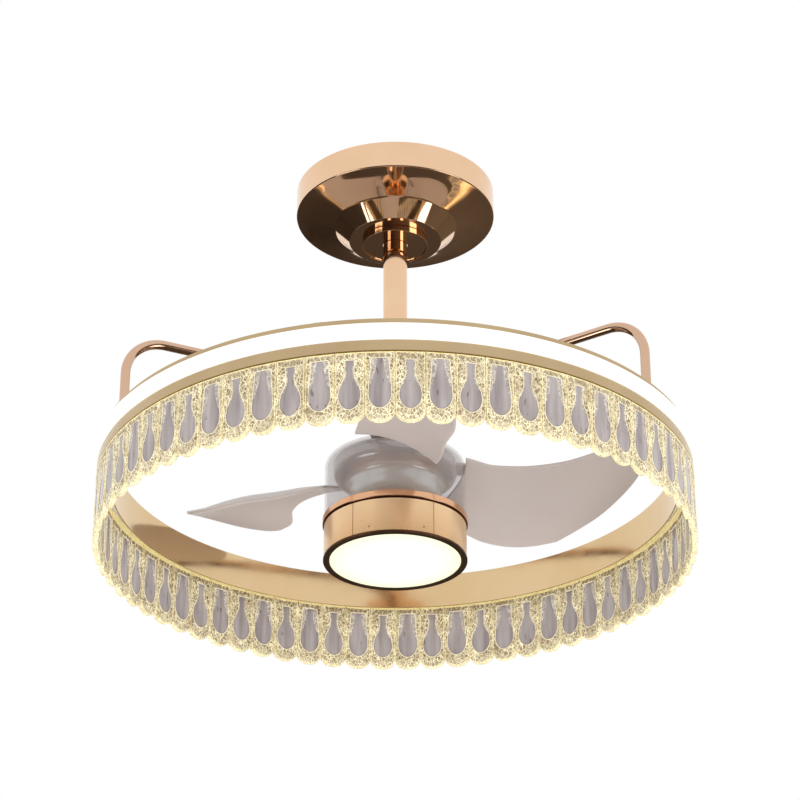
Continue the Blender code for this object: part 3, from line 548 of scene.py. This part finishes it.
def modelCollar():
    radius, top, bottom = extent("canopy_collar")
    inner = radius - collar["rim"]
    face = bottom + collar["recess"]
    turned = lathe("canopyCollar", [(radius, top), (radius, bottom), (inner, bottom), (inner, face),
                                    (collar["bore"], face), (collar["bore"], top), (radius, top)])
    rounded(turned, collar["bevel"])
    fitted(turned, roseGold, "canopy", "rose_gold", "canopy_collar")


rod = {"wall": 1.4 * mm, "bevel": 0.3 * mm, "sides": 96}


def modelRod():
    radius, top, bottom = extent("downrod")
    tube = lathe("downRod", tubeStations(radius, radius - rod["wall"], top, bottom), rod["sides"])
    rounded(tube, rod["bevel"])
    fitted(tube, roseGold, "root", "rose_gold", "downrod")


modelCanopy()
modelCollar()
modelRod()
print("canopy and rod modelled")


# Arm hub and arms

arms = {"count": 3, "azimuth": math.radians(85.5), "radius": 4.0 * mm, "start": 14.0 * mm,
        "bendRadius": 33.0 * mm, "bendSteps": 24, "sides": 40, "circle": 243.65 * mm, "bevel": 0.3 * mm}
armHub = {"bore": 10.8 * mm, "bevel": 1.4 * mm, "sides": 128}


def modelArmHub():
    radius, top, bottom = extent("arm_hub")
    turned = lathe("armHub", tubeStations(radius, armHub["bore"], top, bottom), armHub["sides"])
    rounded(turned, armHub["bevel"], segments=4)
    fitted(turned, roseGold, "root", "rose_gold", "arm_hub")


def modelArms():
    # One arm towards +X: out of the hub, round the bend and down on to the ring
    low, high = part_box("arm_1")
    height = high.z - arms["radius"]
    bpy.ops.mesh.primitive_circle_add(
        vertices=arms["sides"], radius=arms["radius"], fill_type="NGON",
        location=(arms["start"], 0, height), rotation=(0, math.pi / 2, 0))
    arm = fresh("arm")
    bendCentre = arms["circle"] - arms["bendRadius"]
    editing(arm)
    bpy.ops.mesh.select_all(action="SELECT")
    reach = bendCentre - arms["start"]
    bpy.ops.mesh.extrude_region_move(TRANSFORM_OT_translate={"value": (reach, 0, 0)})
    bpy.ops.mesh.spin(steps=arms["bendSteps"], angle=-math.pi / 2, axis=(0, 1, 0),
                      center=(bendCentre, 0, height - arms["bendRadius"]))
    drop = height - arms["bendRadius"] - low.z
    bpy.ops.mesh.extrude_region_move(TRANSFORM_OT_translate={"value": (0, 0, -drop)})
    doneEditing()
    closeUp(arm)
    rounded(arm, arms["bevel"], segments=2, angle=60)
    smooth(arm, angle=40)
    dress(arm, shadedArmGold)
    for number in range(1, arms["count"] + 1):
        azimuth = arms["azimuth"] + math.tau * (number - 1) / arms["count"]
        install(turnedCopy(arm, f"bentArm{number}", azimuth), "root", "rose_gold", f"arm_{number}")
    bpy.data.objects.remove(arm)


modelArmHub()
modelArms()
print("arms modelled")


# Ring channel and light band

ring = {"innerRadius": 237.3 * mm, "sheet": 1.2 * mm, "lip": 4.0 * mm, "bandGap": 14.5 * mm,
        "lowerBand": 9.1 * mm, "bevel": 0.3 * mm, "mirrorDepth": 0.35 * mm, "sides": 272}
mirrorSlot = 1
lightBand = {"back": 247.4 * mm, "face": 250.0 * mm, "bulge": 4.9 * mm, "steps": 14}


def modelRing():
    radius, top, bottom = extent("ring_channel")
    outside = radius - ring["sheet"]
    inside = ring["innerRadius"] + ring["sheet"]
    lip = top - ring["lip"]
    shelf = lip - ring["bandGap"]
    under = shelf - ring["sheet"]
    band = shelf - ring["lowerBand"]
    web = top - ring["sheet"]
    channel = lathe("ringChannel", [
        (radius, top), (radius, lip), (outside, lip), (outside, web), (inside, web), (inside, shelf),
        (radius, shelf), (radius, band), (outside, band), (outside, under), (inside, under),
        (inside, bottom), (ring["innerRadius"], bottom), (ring["innerRadius"], top), (radius, top)],
        ring["sides"])
    rounded(channel, ring["bevel"], segments=2)
    smooth(channel)
    dress(channel, paleGold, mirrorGold)
    innermost = ring["innerRadius"] + ring["mirrorDepth"]
    for face in channel.data.polygons:
        if math.hypot(face.center.x, face.center.y) < innermost:
            face.material_index = mirrorSlot
    install(channel, "root", "pale_gold", "ring_channel")


def modelLightBand():
    radius, top, bottom = extent("light_band")
    middle = (top + bottom) / 2
    half = (top - bottom) / 2
    bulge = [(lightBand["face"] + lightBand["bulge"] * math.cos(a), middle + half * math.sin(a))
             for a in [math.pi * (0.5 - i / lightBand["steps"]) for i in range(lightBand["steps"] + 1)]]
    band = lathe("lightBand", [*bulge, (lightBand["back"], bottom), (lightBand["back"], top), bulge[0]],
                 ring["sides"])
    fitted(band, opalWhite, "root", "white_acrylic", "light_band", angle=50)


modelRing()
modelLightBand()
print("ring modelled")


# Acrylic drops: a bottle-shaped window and a column-shaped one by turns, four drops to a panel

drops = {"count": 68, "perPanel": 4, "faceRadius": 250.3 * mm, "halfWidth": 11.4 * mm,
         "length": 59.5 * mm, "lowered": 0.35 * mm, "tip": 9.0 * mm, "thickness": 4.5 * mm,
         "topSteps": 10, "sideSteps": 15, "tipSteps": 16, "netLoops": 6, "edgeRound": 0.6 * mm,
         "stripWidth": 0.6 * mm, "ridgeWidth": 0.6 * mm, "ridgeHeight": 0.3 * mm,
         "recess": 0.45 * mm, "netRelief": 0.17 * mm, "fringeDepth": 29.0 * mm,
         "litTop": 1.7 * mm, "clearBelow": 0.93, "floorInset": 0.35 * mm, "clearShares": (0.9, 0.93),
         "clearRise": 0.2 * mm, "middleShares": (0.3, 0.8), "middleRise": 0.3 * mm, "beadShare": 0.6,
         "roundInset": 0.2 * mm, "roundShare": 0.3}
bottleWindow = {"top": 7.4 * mm, "widest": 37.0 * mm, "bottom": 49.0 * mm, "clear": 0.8,
                "sides": ((0.0, 3.9), (0.2, 3.3), (0.41, 3.2), (0.58, 4.8), (0.78, 7.3), (1.0, 8.5))}
columnWindow = {"top": 6.0 * mm, "widest": 36.5 * mm, "bottom": 48.4 * mm, "clear": 0.42,
                "sides": ((0.0, 6.0), (0.08, 6.7), (0.3, 6.9), (0.6, 7.9), (1.0, 8.6))}
# Distance of a drop's flat face from the axis
facet = drops["faceRadius"] * math.cos(math.pi / drops["count"])


def outlineLoop(half, top, shoulder, depth):
    # Clockwise from the top left corner, as (across, down), with a half width for each share of
    # the way to the shoulder
    head = [(half(0) * (2 * i / drops["topSteps"] - 1), top) for i in range(drops["topSteps"])]
    side = [(half(i / drops["sideSteps"]), top + (shoulder - top) * i / drops["sideSteps"])
            for i in range(drops["sideSteps"])]
    angles = [math.pi * i / drops["tipSteps"] for i in range(drops["tipSteps"] + 1)]
    tip = [(half(1) * math.cos(a), shoulder + depth * math.sin(a)) for a in angles]
    back = [(-x, v) for x, v in reversed(side[1:])]
    return head + side + tip + back


def tongueLoop(inset):
    # The drop's own outline
    return outlineLoop(lambda share: drops["halfWidth"] - inset, inset + drops["lowered"],
                       drops["length"] - drops["tip"], drops["tip"] - inset)


def windowLoop(shape, outset):
    return outlineLoop(lambda share: readCurve(shape["sides"], share) * mm + outset,
                       shape["top"] - outset, shape["widest"],
                       shape["bottom"] - shape["widest"] + outset)


def clearHalf(shape, down):
    # Half the clear middle of a window's floor between its frosted sides, which part further down
    share = min(1.0, max(0.0, (down - shape["top"]) / (shape["widest"] - shape["top"])))
    frost = min(1.0, max(0.0, (down - shape["top"]) / (drops["fringeDepth"] - shape["top"])))
    half = readCurve(shape["sides"], share) * mm - drops["floorInset"]
    return half * (shape["clear"] + (drops["clearBelow"] - shape["clear"]) * frost ** 2)


def blended(first, second, share):
    return [(a[0] + (b[0] - a[0]) * share, a[1] + (b[1] - a[1]) * share)
            for a, b in zip(first, second)]


def faceLoops(shape):
    # Loops from the middle of the window out to the drop's edge, each with its depth below the face
    # and the material of the faces that it starts
    floor = drops["recess"]
    crest = -drops["ridgeHeight"]
    wall = windowLoop(shape, 0)
    outer = windowLoop(shape, drops["ridgeWidth"])
    strip = tongueLoop(drops["edgeRound"] + drops["stripWidth"])
    centre = (shape["top"] + shape["bottom"]) / 2
    base = windowLoop(shape, -drops["floorInset"])
    across, along = drops["clearShares"]
    narrow = []
    for x, v in base:
        down = centre + (v - centre) * along
        half = clearHalf(shape, down)
        narrow.append((max(-half, min(half, x * across)), down))
    across, along = drops["middleShares"]
    small = [(x * across, centre + (v - centre) * along) for x, v in base]
    loops = [(small, floor - drops["middleRise"], windowSlot),
             (narrow, floor - drops["clearRise"], windowSlot),
             (base, floor, windowSlot),
             (wall, 0.0, ridgeSlot),
             (windowLoop(shape, drops["ridgeWidth"] / 2), crest, ridgeSlot),
             (outer, 0.0, netSlot)]
    for number in range(1, drops["netLoops"]):
        loops.append((blended(outer, strip, number / drops["netLoops"]), "net", netSlot))
    loops.append((strip, 0.0, edgeSlot))
    loops.append((tongueLoop(drops["edgeRound"]), crest * drops["beadShare"], edgeSlot))
    loops.append((tongueLoop(drops["roundInset"]), drops["edgeRound"] * drops["roundShare"], edgeSlot))
    loops.append((tongueLoop(0), drops["edgeRound"], edgeSlot))
    return loops


def modelDrop(name, shape):
    # The front's loops from its window outwards, then the back's from the edge inwards
    front = faceLoops(shape)
    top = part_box("drop_panel_01")[0].z + drops["length"]
    count = len(front[0][0])

    def placed(loop, depth, isBack, number):
        spots = []
        for i, (across, down) in enumerate(loop):
            deep = depth
            if depth == "net":
                deep = drops["netRelief"] * (1 if (i + number) % 2 else -1)
            outward = facet - drops["thickness"] + deep if isBack else facet - deep
            spots.append(Vector((outward, across, top - down)))
        return spots

    rows = [(placed(loop, depth, False, n), material)
            for n, (loop, depth, material) in enumerate(front)]
    rows += [(placed(loop, depth, True, n), material)
             for n, (loop, depth, material) in reversed(list(enumerate(front)))]
    bpy.ops.mesh.primitive_circle_add(vertices=count, radius=1 * mm)
    drop = fresh(name)
    for vertex, spot in zip(drop.data.vertices, rows[0][0]):
        vertex.co = spot
    dress(drop, *dropFinishes)
    editing(drop)
    bpy.ops.mesh.select_all(action="SELECT")
    bpy.ops.mesh.edge_face_add()
    form = bmesh.from_edit_mesh(drop.data)
    lastRow = list(form.verts)
    for n, (spots, material) in enumerate(rows[1:], 1):
        # Faces between two loops take the material of the inner one
        isBack = n > len(front)
        made = bmesh.ops.extrude_edge_only(form, edges=[e for e in form.edges if e.select])
        newVerts = [g for g in made["geom"] if isinstance(g, bmesh.types.BMVert)]
        newEdges = [g for g in made["geom"] if isinstance(g, bmesh.types.BMEdge)]
        newFaces = [g for g in made["geom"] if isinstance(g, bmesh.types.BMFace)]
        isNew = set(newVerts)
        order = {vert: i for i, vert in enumerate(lastRow)}
        row = [None] * count
        for vert in newVerts:
            old = next(e.other_vert(vert) for e in vert.link_edges if e.other_vert(vert) not in isNew)
            row[order[old]] = vert
        for vert, spot in zip(row, spots):
            vert.co = spot
        for face in newFaces:
            face.material_index = material if isBack else rows[n - 1][1]
        bpy.ops.mesh.select_all(action="DESELECT")
        for e in newEdges:
            if all(v in isNew for v in e.verts):
                e.select_set(True)
        lastRow = row
    form.faces.new(lastRow)
    bmesh.update_edit_mesh(drop.data)
    doneEditing()
    closeUp(drop)
    for face in drop.data.polygons:
        # Frost reaches in from the sides of the window's upper half
        down = top - face.center.z
        if (face.material_index == windowSlot and down < drops["fringeDepth"]
                and abs(face.center.y) > clearHalf(shape, down)):
            face.material_index = fringeSlot
        if down < drops["litTop"]:
            face.material_index = topSlot
    return drop


dimples = {"perDrop": 4, "pitch": 4.3 * mm, "down": 3.9 * mm, "across": 1.3 * mm, "high": 1.6 * mm,
           "deep": 0.45 * mm, "lean": math.radians(18)}


def modelDimples(name):
    # A row of slanted ovals near the top of a drop, on both of its faces
    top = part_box("drop_panel_01")[0].z + drops["length"]
    made = []
    for depth in (0.0, drops["thickness"]):
        for number in range(dimples["perDrop"]):
            across = (number - (dimples["perDrop"] - 1) / 2) * dimples["pitch"]
            bpy.ops.mesh.primitive_uv_sphere_add(
                segments=10, ring_count=6, radius=1.0,
                location=(facet - depth, across, top - dimples["down"]), rotation=(dimples["lean"], 0, 0),
                scale=(dimples["deep"], dimples["across"], dimples["high"]))
            oval = fresh("oval")
            dress(oval, *dropFinishes)
            for face in oval.data.polygons:
                face.material_index = dimpleSlot
            made.append(oval)
    return joined(made, name)


tenon = {"overlap": 3.0 * mm, "behindFace": 3.1 * mm, "thickness": 2.0 * mm, "narrower": 0.2 * mm,
         "bevel": 0.3 * mm}


def modelTenon(name):
    # The plain strip over a drop that goes up behind the ring's lower band
    low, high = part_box("drop_panel_01")
    top = high.z
    bottom = low.z + drops["length"] - tenon["overlap"]
    width = 2 * drops["halfWidth"] - tenon["narrower"]
    bpy.ops.mesh.primitive_cube_add(
        size=1.0, location=(drops["faceRadius"] - tenon["behindFace"], 0, (top + bottom) / 2),
        scale=(tenon["thickness"], width, top - bottom))
    strip = fresh(name)
    rounded(strip, tenon["bevel"], segments=2)
    dress(strip, *dropFinishes)
    for face in strip.data.polygons:
        # Lit on the side towards the axis, dark on the other
        face.material_index = topSlot if face.normal.x < -0.5 else dimpleSlot
    return strip


def modelDrops():
    pitch = math.tau / drops["count"]
    pair = [joined([modelDrop(f"{kind}Drop", shape), modelDimples(f"{kind}Dimples"),
                    modelTenon(f"{kind}Tenon")], f"{kind}Drop")
            for kind, shape in (("column", columnWindow), ("bottle", bottleWindow))]
    row = [turnedCopy(pair[number % 2], f"drop{number}", (number + 0.5) * pitch)
           for number in range(drops["perPanel"])]
    panel = joined(row, "dropPanel")
    smooth(panel, angle=35)
    for number in range(drops["count"] // drops["perPanel"]):
        copy = turnedCopy(panel, f"dropPanel{number + 1:02d}", number * drops["perPanel"] * pitch)
        install(copy, "root", "drop_acrylic", f"drop_panel_{number + 1:02d}")
    for obj in (*pair, panel):
        bpy.data.objects.remove(obj)


modelDrops()
print("drops modelled")


# Hub shell and motor bowl

hub = {"wall": 2.0 * mm, "shoulder": 7.0 * mm, "opening": 30.0 * mm, "bevel": 0.4 * mm}
bowl = {"sheet": 1.6 * mm, "neckRadius": 38.9 * mm, "boss": 18.3 * mm, "bore": 15.3 * mm,
        "bossHeight": 7.8 * mm, "steps": 64,
        "curve": ((0.0, 1.0), (0.13, 1.0), (0.19, 0.95), (0.24, 0.86), (0.28, 0.7), (0.31, 0.5),
                  (0.335, 0.24), (0.36, 0.06), (0.39, 0.0), (0.69, 0.0), (0.76, -0.04), (0.82, -0.1),
                  (0.88, -0.2), (0.92, -0.28), (0.96, -0.4), (1.0, -0.55))}


def modelHub():
    radius, top, bottom = extent("hub_shell")
    bend = hub["shoulder"]
    shoulder = arcStations((radius - bend, top - bend), bend, 90, 0, 10)
    shell = lathe("hubShell", [(hub["opening"], top), *shoulder, (radius, bottom)])
    applied(shell, "SOLIDIFY", thickness=hub["wall"], offset=-1.0, use_even_offset=True)
    rounded(shell, hub["bevel"], segments=2, angle=40)
    fitted(shell, smokedHub, "rotor", "smoke_hub", "hub_shell")


def insetPoints(points, distance):
    # An outline read from the top down, moved inwards square to itself
    moved = []
    for i, (r, z) in enumerate(points):
        (r0, z0), (r1, z1) = points[max(i - 1, 0)], points[min(i + 1, len(points) - 1)]
        share = distance / math.hypot(r1 - r0, z1 - z0)
        moved.append((r + (z1 - z0) * share, z - (r1 - r0) * share))
    return moved


def modelBowl():
    # Wide under the lid, then a neck with a rounded lower edge
    radius, top, bottom = extent("motor_bowl")
    depth = top - bottom
    outer = []
    for i in range(bowl["steps"] + 1):
        share = i / bowl["steps"]
        across = min(1.0, readCurve(bowl["curve"], share))
        outer.append((bowl["neckRadius"] + (radius - bowl["neckRadius"]) * across, top - depth * share))
    floor = bottom + bowl["sheet"]
    bossTop = bottom + bowl["bossHeight"]
    inner = [(r, max(z, floor)) for r, z in reversed(insetPoints(outer, bowl["sheet"]))]
    pot = lathe("motorBowl", [*outer, (bowl["bore"], bottom), (bowl["bore"], bossTop),
                              (bowl["boss"], bossTop), (bowl["boss"], floor), *inner, outer[0]])
    fitted(pot, silver, "rotor", "silver_paint", "motor_bowl", angle=40)


modelHub()
modelBowl()
print("hub modelled")


# Blades

blades = {"count": 3, "root": 59.8 * mm, "reach": 219.0 * mm, "thickness": 2.4 * mm,
          "leadRise": 13.6 * mm, "trailDrop": 28.4 * mm, "trailRise": 10.0 * mm,
          "rootCamber": 3.0 * mm, "tipCamber": 14.5 * mm, "bevel": 0.85 * mm,
          "leadAzimuths": ((0.0, -4.0), (0.07, 3.0), (0.16, 9.5), (0.26, 11.4), (0.42, 11.6),
                           (0.63, 8.0), (0.84, 1.8), (1.0, 1.5)),
          "trailAzimuths": ((0.0, 65.0), (0.3, 54.5), (0.5, 52.5), (0.72, 48.0), (1.0, 40.5)),
          "leadHeights": ((0.0, 0.0), (0.31, 0.3), (0.52, 0.52), (0.73, 0.72), (1.0, 1.0)),
          "trailHeights": ((0.0, 0.25), (0.25, 0.0), (0.65, 0.0), (0.82, 0.3), (1.0, 1.0)),
          "tipReach": ((0.0, 0.902), (0.04, 0.935), (0.1, 0.96), (0.24, 0.992), (0.42, 1.0),
                       (0.6, 0.985), (0.75, 0.955), (0.88, 0.907), (1.0, 0.854)),
          "spanCells": 44, "chordCells": 36}
lug = {"width": 20.0 * mm, "thickness": 3.0 * mm, "inner": 38.0 * mm, "outer": 62.4 * mm,
       "azimuth": math.radians(17.5), "lift": 0.3 * mm, "bevel": 0.8 * mm}


def bladePoint(span, chord, hubTop):
    tip = blades["reach"] * readCurve(blades["tipReach"], chord)
    radius = blades["root"] + (tip - blades["root"]) * span
    lead = math.radians(readCurve(blades["leadAzimuths"], span))
    trail = math.radians(readCurve(blades["trailAzimuths"], span))
    leadHeight = (hubTop + lug["lift"] + lug["thickness"] / 2
                  + blades["leadRise"] * readCurve(blades["leadHeights"], span))
    trailHeight = (hubTop - blades["trailDrop"]
                   + blades["trailRise"] * readCurve(blades["trailHeights"], span))
    camber = blades["rootCamber"] + (blades["tipCamber"] - blades["rootCamber"]) * span
    azimuth = lead + (trail - lead) * chord
    height = leadHeight + (trailHeight - leadHeight) * chord + camber * math.sin(math.pi * chord)
    return Vector((radius * math.cos(azimuth), radius * math.sin(azimuth), height))


def modelBlades():
    # A flat grid carried point by point on to the blade's surface, then given its wall
    hubTop = extent("hub_shell")[1]
    bpy.ops.mesh.primitive_grid_add(x_subdivisions=blades["spanCells"],
                                    y_subdivisions=blades["chordCells"], size=1.0)
    blade = fresh("blade")
    for vertex in blade.data.vertices:
        vertex.co = bladePoint(vertex.co.x + 0.5, vertex.co.y + 0.5, hubTop)
    applied(blade, "SOLIDIFY", thickness=blades["thickness"], offset=0.0, use_even_offset=True)
    rounded(blade, blades["bevel"], angle=60)
    length = lug["outer"] - lug["inner"]
    centre = (lug["inner"] + length / 2, 0, hubTop + lug["lift"] + lug["thickness"] / 2)
    bpy.ops.mesh.primitive_cube_add(size=1.0, location=centre,
                                    scale=(length, lug["width"], lug["thickness"]))
    root = fresh("lug")
    rounded(root, lug["bevel"])
    root = turnedCopy(root, "lugInPlace", lug["azimuth"])
    bpy.data.objects.remove(bpy.data.objects["lug"])
    blade = joined([blade, root], "blade")
    smooth(blade, angle=50)
    dress(blade, smokedBlade)
    for number in range(1, blades["count"] + 1):
        copy = turnedCopy(blade, f"fanBlade{number}", math.tau * (number - 1) / blades["count"])
        install(copy, "rotor", "smoke_blade", f"blade_{number}")
    bpy.data.objects.remove(blade)


modelBlades()
print("blades modelled")


# Downlight

flange = {"sheet": 2.0 * mm, "shaftSeat": 8.3 * mm, "bevel": 0.7 * mm}
drum = {"wall": 2.4 * mm, "spigot": 58.5 * mm, "shoulder": 4.2 * mm, "bevel": 0.3 * mm,
        "seamWidth": 0.45 * mm, "seamDepth": 0.3 * mm,
        "seams": (math.radians(-125.625), math.radians(-58.125)),
        "dots": (math.radians(-111.0), math.radians(-67.0)), "dotRadius": 0.65 * mm,
        "dotSunk": 0.15 * mm, "dotUp": 4.4 * mm, "tolerance": 0.05 * mm}
bronzeSlot = 1


def modelFlange():
    radius, top, bottom = extent("lamp_flange")
    skirt = radius - flange["sheet"]
    web = top - flange["sheet"]
    cap = lathe("lampFlange", [(radius, top), (radius, bottom), (skirt, bottom), (skirt, web),
                               (flange["shaftSeat"], web), (flange["shaftSeat"], top), (radius, top)])
    rounded(cap, flange["bevel"])
    fitted(cap, flangeGold, "root", "rose_gold", "lamp_flange")


def edgesOver(form, spot):
    # Upright edges over one spot of the plan
    return [e for e in form.edges if all((v.co.xy - spot).length < drum["tolerance"] for v in e.verts)]


def cutSeams(can, radius):
    # The wall's upright edge at each seam is bevelled, and the new middle edge is pushed in
    for azimuth in drum["seams"]:
        away = Vector((math.cos(azimuth), math.sin(azimuth)))
        editing(can)
        bpy.ops.mesh.select_mode(type="EDGE")
        bpy.ops.mesh.select_all(action="DESELECT")
        form = bmesh.from_edit_mesh(can.data)
        for e in edgesOver(form, away * radius):
            e.select_set(True)
        bpy.ops.mesh.bevel(offset=drum["seamWidth"] / 2, segments=2, affect="EDGES")
        bpy.ops.mesh.select_all(action="DESELECT")
        form = bmesh.from_edit_mesh(can.data)
        for e in edgesOver(form, away * radius):
            e.select_set(True)
            for face in e.link_faces:
                if abs(face.normal.z) < 0.5:
                    face.material_index = bronzeSlot
        bmesh.update_edit_mesh(can.data)
        bpy.ops.transform.translate(value=(*(-away * drum["seamDepth"]), 0))
        doneEditing()


def modelDot(radius, azimuth, height):
    out = radius - drum["dotSunk"]
    bpy.ops.mesh.primitive_uv_sphere_add(
        segments=16, ring_count=8, radius=drum["dotRadius"],
        location=(out * math.cos(azimuth), out * math.sin(azimuth), height))
    dot = fresh("drumDot")
    dress(dot, lampGold, bronze)
    for face in dot.data.polygons:
        face.material_index = bronzeSlot
    smooth(dot)
    return dot


def modelDrum():
    low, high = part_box("lamp_drum")
    radius, top, bottom = high.x, high.z, low.z
    shoulder = top - drum["shoulder"]
    inner = radius - drum["wall"]
    can = lathe("lampDrum", [(drum["spigot"], top), (drum["spigot"], shoulder), (radius, shoulder),
                             (radius, bottom), (inner, bottom), (inner, top), (drum["spigot"], top)])
    dress(can, lampGold, bronze)
    for face in can.data.polygons:
        if abs(math.hypot(face.center.x, face.center.y) - drum["spigot"]) < 2 * drum["tolerance"]:
            face.material_index = bronzeSlot
    cutSeams(can, radius)
    rounded(can, drum["bevel"], segments=2, angle=50)
    smooth(can)
    dots = [modelDot(radius, azimuth, bottom + drum["dotUp"]) for azimuth in drum["dots"]]
    can = joined([can, *dots], "lampDrum")
    install(can, "root", "rose_gold", "lamp_drum")


rim = {"inner": 54.8 * mm, "spigot": 56.8 * mm, "height": 2.0 * mm, "bevel": 0.28 * mm}


def modelRim():
    low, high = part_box("lamp_rim")
    radius, top, bottom = high.x, high.z, low.z
    shoulder = bottom + rim["height"]
    hoop = lathe("lampRim", [(radius, shoulder), (radius, bottom), (rim["inner"], bottom),
                             (rim["inner"], top), (rim["spigot"], top), (rim["spigot"], shoulder),
                             (radius, shoulder)])
    rounded(hoop, rim["bevel"])
    fitted(hoop, bronze, "root", "dark_bronze", "lamp_rim")


diffuser = {"crown": 0.9 * mm, "steps": 6, "pole": 1.0 * mm}


def modelDiffuser():
    # A shallow dome, left open round its poles and then closed with one face at each
    radius, top, bottom = extent("lamp_diffuser")
    angles = [math.radians(90) * i / diffuser["steps"] for i in range(diffuser["steps"])]
    dome = [(radius * math.cos(a), bottom + diffuser["crown"] * (1 - math.sin(a))) for a in angles]
    pole = diffuser["pole"]
    disc = lathe("lampDiffuser", [(pole, top), (radius, top), *dome, (pole, bottom)])
    editing(disc)
    bpy.ops.mesh.select_all(action="SELECT")
    bpy.ops.mesh.fill_holes(sides=0)
    doneEditing()
    closeUp(disc)
    fitted(disc, opalDisc, "root", "white_acrylic", "lamp_diffuser")


modelFlange()
modelDrum()
modelRim()
modelDiffuser()
print("downlight modelled")


# Nodes whose solids stay

keptNodes = {
    zincPlate(): ("ceiling_plate", "hanger_bracket"),
    machinedSteel(): (
        "bracket_screw_1", "bracket_screw_2", "hanger_pin", "arm_screw_1", "arm_screw_2", "arm_screw_3",
        "motor_shaft", "coupling_pin", "upper_bearing", "lower_bearing", "blade_screw_1",
        "blade_screw_2", "blade_screw_3", "lamp_nut"),
    mouldedBox(): ("receiver_box", "terminal_block"),
    whiteBoard(): ("band_led_strip", "drop_led_strip", "led_board"),
    laminatedIron(): ("stator_core",),
    woundCopper(): ("stator_winding",),
    silver: ("rotor_lid",),
    dullMagnet(): ("magnet_ring",)}
for material, names in keptNodes.items():
    for name in names:
        dress(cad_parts[name], material)
print("kept nodes dressed")


# Camera, floor, light

view = {"lens": 119.35, "sensor": 36, "place": (0, -2.0116, -1.2566), "pitch": math.radians(27.594),
        "shiftX": 0.00595, "shiftY": -0.00069}
studio = {"floorHeight": -3.2, "floorSize": 24.0, "skyStrength": 0.86, "flagRadius": 8.0,
          "flagRise": 0.5, "flagGap": 0.05, "flagHole": 0.01, "flagSides": 64,
          "flagShade": (-2.0, 5.0), "target": (0, 0, -0.2)}
# Name, place, size, power, and whether polished pieces reflect it
softboxes = (("lowLeft", (-1.5, -0.82, -1.66), 1.0, 9.0, True),
             ("lowRight", (1.66, -0.72, -1.58), 1.0, 9.0, True),
             ("underFill", (0.3, -0.6, -2.9), 2.4, 26.0, False),
             ("highFront", (0.8, -2.8, 0.9), 2.2, 15.0, False),
             ("highBack", (-1.2, 2.6, 0.7), 2.0, 9.0, False))


def addCamera():
    data = bpy.data.cameras.new("photographCamera")
    data.lens = view["lens"]
    data.sensor_width = view["sensor"]
    data.shift_x = view["shiftX"]
    data.shift_y = view["shiftY"]
    camera = bpy.data.objects.new("photographCamera", data)
    camera.location = view["place"]
    camera.rotation_euler = (math.radians(90) + view["pitch"], 0, 0)
    bpy.context.scene.collection.objects.link(camera)
    bpy.context.scene.camera = camera


def addSoftbox(name, place, size, power, reflected):
    data = bpy.data.lights.new(name, "AREA")
    data.shape = "SQUARE"
    data.size = size
    data.energy = power
    softbox = bpy.data.objects.new(name, data)
    softbox.visible_glossy = reflected
    softbox.location = place
    towards = Vector(studio["target"]) - Vector(place)
    softbox.rotation_euler = towards.to_track_quat("-Z", "Y").to_euler()
    bpy.context.scene.collection.objects.link(softbox)


def addFloor():
    bpy.ops.mesh.primitive_plane_add(size=studio["floorSize"], location=(0, 0, studio["floorHeight"]))
    floor = fresh("floor")
    paint = Finish("floorPaint", (0.92, 0.92, 0.91), 0.7)
    paint.varyColour(1.5, (0.90, 0.90, 0.89))
    dress(floor, paint.material)


def addDarkFlag():
    # A dark tub round the set that only reflections see, so that polished undersides turn dark
    low = studio["floorHeight"] + studio["flagGap"]
    radius = studio["flagRadius"]
    flag = lathe("darkFlag", [(studio["flagHole"], low), (radius, low), (radius, studio["flagRise"])],
                 studio["flagSides"])
    cloth = Finish("flagCloth", (0.045, 0.03, 0.02), 0.9)
    share = cloth.ranged(cloth.along("X"), 0.0, 1.0, *studio["flagShade"])
    cloth.link(cloth.mixed(share, (0.035, 0.022, 0.014), (0.17, 0.13, 0.095)), "Base Color")
    cloth.varyRoughness(2, 0.85, 0.95)
    dress(flag, cloth.material)
    flag.visible_camera = False
    flag.visible_diffuse = False
    flag.visible_transmission = False
    flag.visible_shadow = False


def addWorld():
    # White where the camera, gloss or clear acrylic sees it, a little dimmer as light
    world = bpy.data.worlds.new("studio")
    world.use_nodes = True
    nodes = world.node_tree.nodes
    links = world.node_tree.links
    nodes.clear()
    rays = nodes.new("ShaderNodeLightPath").outputs
    seen = rays["Is Camera Ray"]
    for ray in ("Is Glossy Ray", "Is Transmission Ray"):
        either = nodes.new("ShaderNodeMath")
        either.operation = "MAXIMUM"
        links.new(seen, either.inputs[0])
        links.new(rays[ray], either.inputs[1])
        seen = either.outputs[0]
    mix = nodes.new("ShaderNodeMixShader")
    links.new(seen, mix.inputs[0])
    for socket, strength in ((1, studio["skyStrength"]), (2, 1.0)):
        sky = nodes.new("ShaderNodeBackground")
        sky.inputs["Color"].default_value = (1, 1, 1, 1)
        sky.inputs["Strength"].default_value = strength
        links.new(sky.outputs[0], mix.inputs[socket])
    output = nodes.new("ShaderNodeOutputWorld")
    links.new(mix.outputs[0], output.inputs["Surface"])
    bpy.context.scene.world = world


addCamera()
addFloor()
addDarkFlag()
addWorld()
for softbox in softboxes:
    addSoftbox(*softbox)
bpy.context.scene.view_settings.view_transform = "Standard"
print("studio set")
